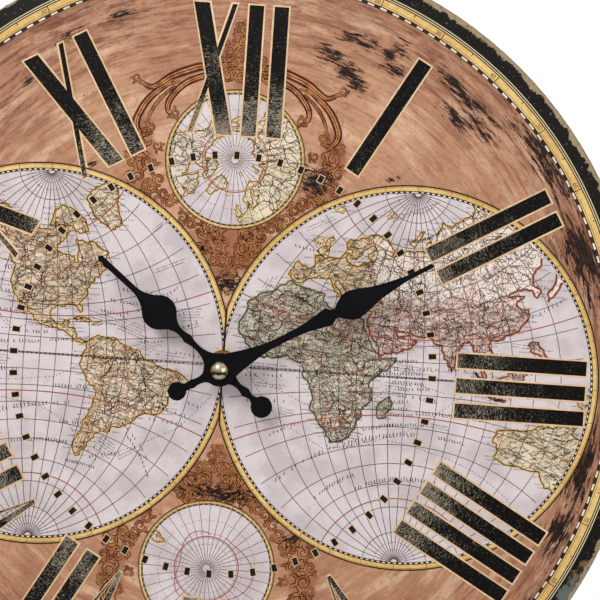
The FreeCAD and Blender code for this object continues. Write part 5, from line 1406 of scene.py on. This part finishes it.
def draw_rim():
    """The gold scale with its ticks and degree figures, and the ladder of dashes inside it."""
    radii = (GOLD_OUTER, GOLD_INNER, DASH_INNER)
    gold, inner_gold, ladder = (circle(DIAL_MIDDLE, radius, RIM_STEPS) for radius in radii)
    filled("rim_gold_ring", [gold, inner_gold], "band", "gold_ink")
    filled("rim_dark_ladder", [inner_gold, ladder], "band", "map_ink")
    near, far = DASH_INNER + 0.25, GOLD_INNER - 0.3
    dashes = [ring_piece(DIAL_MIDDLE, near, far, start, start + 1.0) for start in range(0, 360, 2)]
    filled("rim_light_dashes", dashes, "ocean", "white_ink")
    lines = penned([closed(gold), closed(inner_gold)], 0.3)
    lines.append((closed(circle(DIAL_MIDDLE, GOLD_INNER + 0.75, RIM_STEPS)), 0.14))
    for degrees in range(0, 360, TICK_STEP):
        inner = GOLD_OUTER - 1.1 if degrees % 10 else GOLD_INNER
        lines.append(([polar(DIAL_MIDDLE, inner, degrees), polar(DIAL_MIDDLE, GOLD_OUTER, degrees)], 0.34))
    inked("rim_lines", lines, "land", "map_ink")
    for degrees in range(0, 360, 10):
        draw_degree_figure(degrees)


def draw_small_map(disc, sign, names, looks):
    """A polar map: spokes every 10 degrees, dashed circles, the polar circle in red brown and its lands."""
    draw_border(disc, INSET_DASH_PERIOD)
    spokes, circles = [], []
    for longitude in range(0, 360, 10):
        spokes += disc.line([(longitude, sign * latitude) for latitude in range(45, 89, 3)])
    for latitude in (55, 64, 72, 80, 84, 87):
        circles += disc.line([(longitude, sign * latitude) for longitude in range(0, 360, 5)])
    inked(f"{disc.name}_grid", penned(spokes, 0.2) + dotted(circles, *INSET_DOTS), "grid", "grid_ink")
    strokes = []
    for latitude, width in ((66.5, RED_CIRCLE_WIDTH), (67.6, THIN_LINE)):
        strokes += penned(disc.line([(longitude, sign * latitude) for longitude in range(0, 361, 5)]), width)
    inked(f"{disc.name}_polar_circle", strokes, "route", "red_brown_ink")
    outlines = draw_lands(disc, names, looks, "engraving_ink", INSET_TINT_WIDTH)
    marks = engraving(outlines, INSET_ENGRAVING_DENSITY, 6)
    marks += rivers(outlines, INSET_RIVER_DENSITY, 7)
    inked(f"{disc.name}_engraving", marks, "engraving", "engraving_ink")


def draw_hemisphere(disc, names, stretch, seed):
    """The lands of one half with their engraving, and what is drawn at sea."""
    outlines = draw_lands(disc, names, LAND_LOOKS, "map_ink", TINT_WIDTH, stretch)
    marks = thinned(engraving(outlines, ENGRAVING_DENSITY[disc.name], seed), seed)
    inked(f"{disc.name}_engraving", marks, "engraving", "engraving_ink")
    large = {name: outline for name, outline in outlines.items() if name in LARGE_LANDS}
    inked(f"{disc.name}_rivers", rivers(large, RIVER_DENSITY, seed + 2), "engraving_line", "map_ink")
    borders = rivers(large, INLAND_BORDER_DENSITY, seed + 5)
    inked(f"{disc.name}_borders", borders, "engraving_line", "red_brown_ink")
    draw_routes(disc)
    marks = sea_marks(disc, seed + 7) + sea_notes(disc, seed + 9) + port_rows(disc, outlines, seed + 11)
    inked(f"{disc.name}_sea_marks", marks, "coast", "map_ink")


def draw_dial():
    for disc, middle in ((WEST, WEST_MIDDLE), (EAST, EAST_MIDDLE)):
        draw_border(disc, DASH_PERIOD)
        draw_grid(disc, middle)
        draw_circles_of_latitude(disc, middle)
    draw_hemisphere(WEST, WEST_LANDS, WEST_STRETCH, 3)
    draw_hemisphere(EAST, EAST_LANDS, EAST_STRETCH, 4)
    draw_small_map(NORTH, 1, NORTH_LANDS, NORTH_LOOKS)
    draw_small_map(SOUTH, -1, ("south_america",), LAND_LOOKS)
    voyages = []
    for start, span in ((20, 0), (210, 6)):
        wave = [(a, -60 - 4 * math.sin(math.radians(3 * a)) - span) for a in range(start, start + 150, 6)]
        voyages += SOUTH.line(wave)
    inked("south_voyages", penned(voyages, 0.34), "coast", "red_brown_ink")
    draw_rim()
    scrollwork()
    draw_numerals()
    draw_minutes()


def cell_sleeve():
    """A plain two-tone cell: dark grey body with a copper-coloured collar near the positive end."""
    finish = Finish("cell_sleeve", 0.32)
    low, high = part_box("battery")
    length = high.x - low.x
    place = finish.parts(finish.place)[0]
    collar = finish.rise(place, high.x - length * 0.27, high.x - length * 0.268)
    end = finish.rise(place, high.x - length * 0.012, high.x - length * 0.011)
    grain = finish.noise(260, 4.0, 0.6)
    cloud = finish.rise(grain, 0.35, 0.7)
    body = finish.mix(cloud, "cell_body", "cell_body_dark")
    band = finish.mix(cloud, "cell_collar", "cell_collar_dark")
    finish.bump(grain, 0.00002, 0.3)
    return finish.done(finish.over(finish.mix(collar, body, band), end, "cell_end"))


# Two-tone finishes of the pieces that keep their shape from the frame: the pieces, the two tones, and then
# the scale, roughness, metallic share, relief, stretch and sheen as mottled takes them
PART_FINISHES = {
    "hand_black": (
        ("hour_hand", "minute_hand"), (5, 5, 8), (10, 9, 12), 900, 0.55, 0.0, 0.00003, (1, 1, 1), 0.1,
    ),
    "rubber": (("rubber_washer",), (30, 30, 31), (48, 47, 46), 700, 0.8),
    "zinc_steel": (
        ("hanger_plate", "contact_positive", "contact_negative", "clutch_spring", "battery_cap"),
        (186, 190, 194), (142, 148, 156), 160, 0.34, 0.9, 0.00002,
    ),
    "case_black": (("case_front", "case_back"), (24, 24, 26), (37, 37, 40), 1300, 0.5, 0.0, 0.00006),
    "plate_white": (
        ("train_plate", "train_bridge", "coil_bobbin"), (224, 222, 212), (204, 200, 188), 400, 0.42,
    ),
    "wheel_white": (
        ("cannon_pinion", "center_wheel", "hour_wheel", "minute_wheel", "third_wheel", "fourth_wheel",
         "intermediate_wheel"),
        (232, 230, 222), (212, 208, 196), 500, 0.38,
    ),
    "knob_red": (("setting_knob", "rotor_pinion"), (176, 38, 30), (150, 28, 24), 500, 0.4),
    "iron": (("stator", "coil_core"), (128, 126, 122), (98, 96, 92), 300, 0.45, 0.9),
    "magnet": (("rotor_magnet",), (66, 66, 68), (46, 46, 48), 400, 0.4, 0.6),
    "copper": (("coil_winding",), (186, 104, 62), (150, 76, 44), 900, 0.32, 0.9, 0.00005, (6, 1, 1)),
    "circuit": (("circuit_board",), (60, 104, 62), (44, 82, 48), 300, 0.4),
    "resin": (("chip_blob",), (18, 18, 18), (30, 30, 30), 400, 0.22),
    "crystal_can": (("quartz_crystal",), (196, 198, 200), (160, 164, 168), 300, 0.28, 0.9),
}
BRASS_PIECES = ("mounting_nut", "nut_washer", "threaded_bush", "hour_collet", "minute_collet", "minute_arbor")


def paint(names, material):
    for name in names:
        for slot in nodes[name].material_slots:
            slot.material = material


def paint_parts():
    paint(["dial_print"], aged_ground())
    paint(["dial_board"], board_fibre())
    paint(["cap_nut"], turned_metal("warm_nickel", (196, 188, 164), (140, 128, 100), 0.1))
    paint(BRASS_PIECES, turned_metal("brass", (206, 166, 92), (158, 118, 58), 0.28))
    paint(["battery"], cell_sleeve())
    for finish, (names, *values) in PART_FINISHES.items():
        paint(names, mottled(finish, *values))


# Camera: in front of the dial, square to it, turned so that the clock leans a little to the right
CAMERA_PLACE = (32.0, -220.0, 65.4)
CAMERA_LEAN = 3.84
CAMERA_LENS = 32.75
CAMERA_SHIFT = (-0.0217, -0.1533)
FLOOR_SIZE = 1.2
FLOOR_BELOW = 0.62
LIGHT_AIM_UP = 0.03
# Name, place, width in metres and power in watts
LIGHTS = (
    ("main_light", (-0.5, -0.8, 0.9), 0.6, 14.0),
    ("side_light", (0.9, -0.8, 0.2), 0.9, 4.0),
    ("back_light", (-0.5, 0.9, 0.5), 0.8, 9.0),
)
WHITE = (1, 1, 1, 1)
SKY_LIGHT = 0.5
MIRROR_RAMP = ((0.35, (0.06, 0.055, 0.05, 1)), (0.62, WHITE))


def add_camera():
    bpy.ops.object.camera_add()
    camera = bpy.context.object
    camera.name = "photo_camera"
    lean = math.radians(CAMERA_LEAN)
    right = Vector((math.cos(lean), 0, math.sin(lean)))
    up = Vector((-math.sin(lean), 0, math.cos(lean)))
    turn = Matrix((right, up, Vector((0, -1, 0)))).transposed().to_4x4()
    place = Vector((DIAL_X, DIAL_FACE, DIAL_Z)) + Vector(CAMERA_PLACE) * MM
    camera.matrix_world = Matrix.Translation(place) @ turn
    camera.data.lens = CAMERA_LENS
    camera.data.sensor_width = 36.0
    camera.data.shift_x, camera.data.shift_y = CAMERA_SHIFT
    camera.data.clip_start = 0.01
    bpy.context.scene.camera = camera


def add_light(name, place, size, power):
    bpy.ops.object.light_add(type="AREA", location=place)
    light = bpy.context.object
    light.name = name
    light.data.size = size
    light.data.energy = power
    aim = Vector((DIAL_X, DIAL_FACE, DIAL_Z + LIGHT_AIM_UP)) - Vector(place)
    light.rotation_euler = aim.to_track_quat("-Z", "Y").to_euler()


def add_floor():
    bpy.ops.mesh.primitive_plane_add(size=FLOOR_SIZE, location=(0, 0, DIAL_Z - FLOOR_BELOW))
    floor = bpy.context.object
    floor.name = "floor"
    finish = Finish("floor_pale", 0.8)
    floor.data.materials.append(finish.done(finish.mix(finish.noise(3, 3.0, 0.5), "floor", "floor_dark")))


def add_world():
    """White for the camera, dimmer as light, and dark below the horizon for shiny pieces."""
    world = bpy.data.worlds.new("studio")
    bpy.context.scene.world = world
    world.use_nodes = True
    tree = world.node_tree
    made = {"sky": tree.nodes["Background"], "end": tree.nodes["World Output"]}
    for name, kind in (
        ("seen", "Background"), ("mirrored", "Background"), ("facing", "TexCoord"), ("parts", "SeparateXYZ"),
        ("ramp", "ValToRGB"), ("half", "Math"), ("ray", "LightPath"), ("room", "MixShader"),
        ("both", "MixShader"),
    ):
        made[name] = tree.nodes.new("ShaderNode" + kind)
    for name, strength in (("sky", SKY_LIGHT), ("seen", 1.0), ("mirrored", 1.0)):
        made[name].inputs["Color"].default_value = WHITE
        made[name].inputs["Strength"].default_value = strength
    for element, (place, tone) in zip(made["ramp"].color_ramp.elements, MIRROR_RAMP):
        element.position = place
        element.color = tone
    made["half"].operation = "MULTIPLY_ADD"
    made["half"].inputs[1].default_value = 0.5
    made["half"].inputs[2].default_value = 0.5
    for source, output, target, socket in (
        ("facing", "Generated", "parts", 0), ("parts", 2, "half", 0), ("half", 0, "ramp", 0),
        ("ramp", 0, "mirrored", "Color"), ("ray", "Is Glossy Ray", "room", 0), ("sky", 0, "room", 1),
        ("mirrored", 0, "room", 2), ("ray", "Is Camera Ray", "both", 0), ("room", 0, "both", 1),
        ("seen", 0, "both", 2), ("both", 0, "end", 0),
    ):
        tree.links.new(made[source].outputs[output], made[target].inputs[socket])


draw_dial()
paint_parts()
add_floor()
add_world()
for light in LIGHTS:
    add_light(*light)
add_camera()
bpy.context.scene.view_settings.view_transform = "Standard"
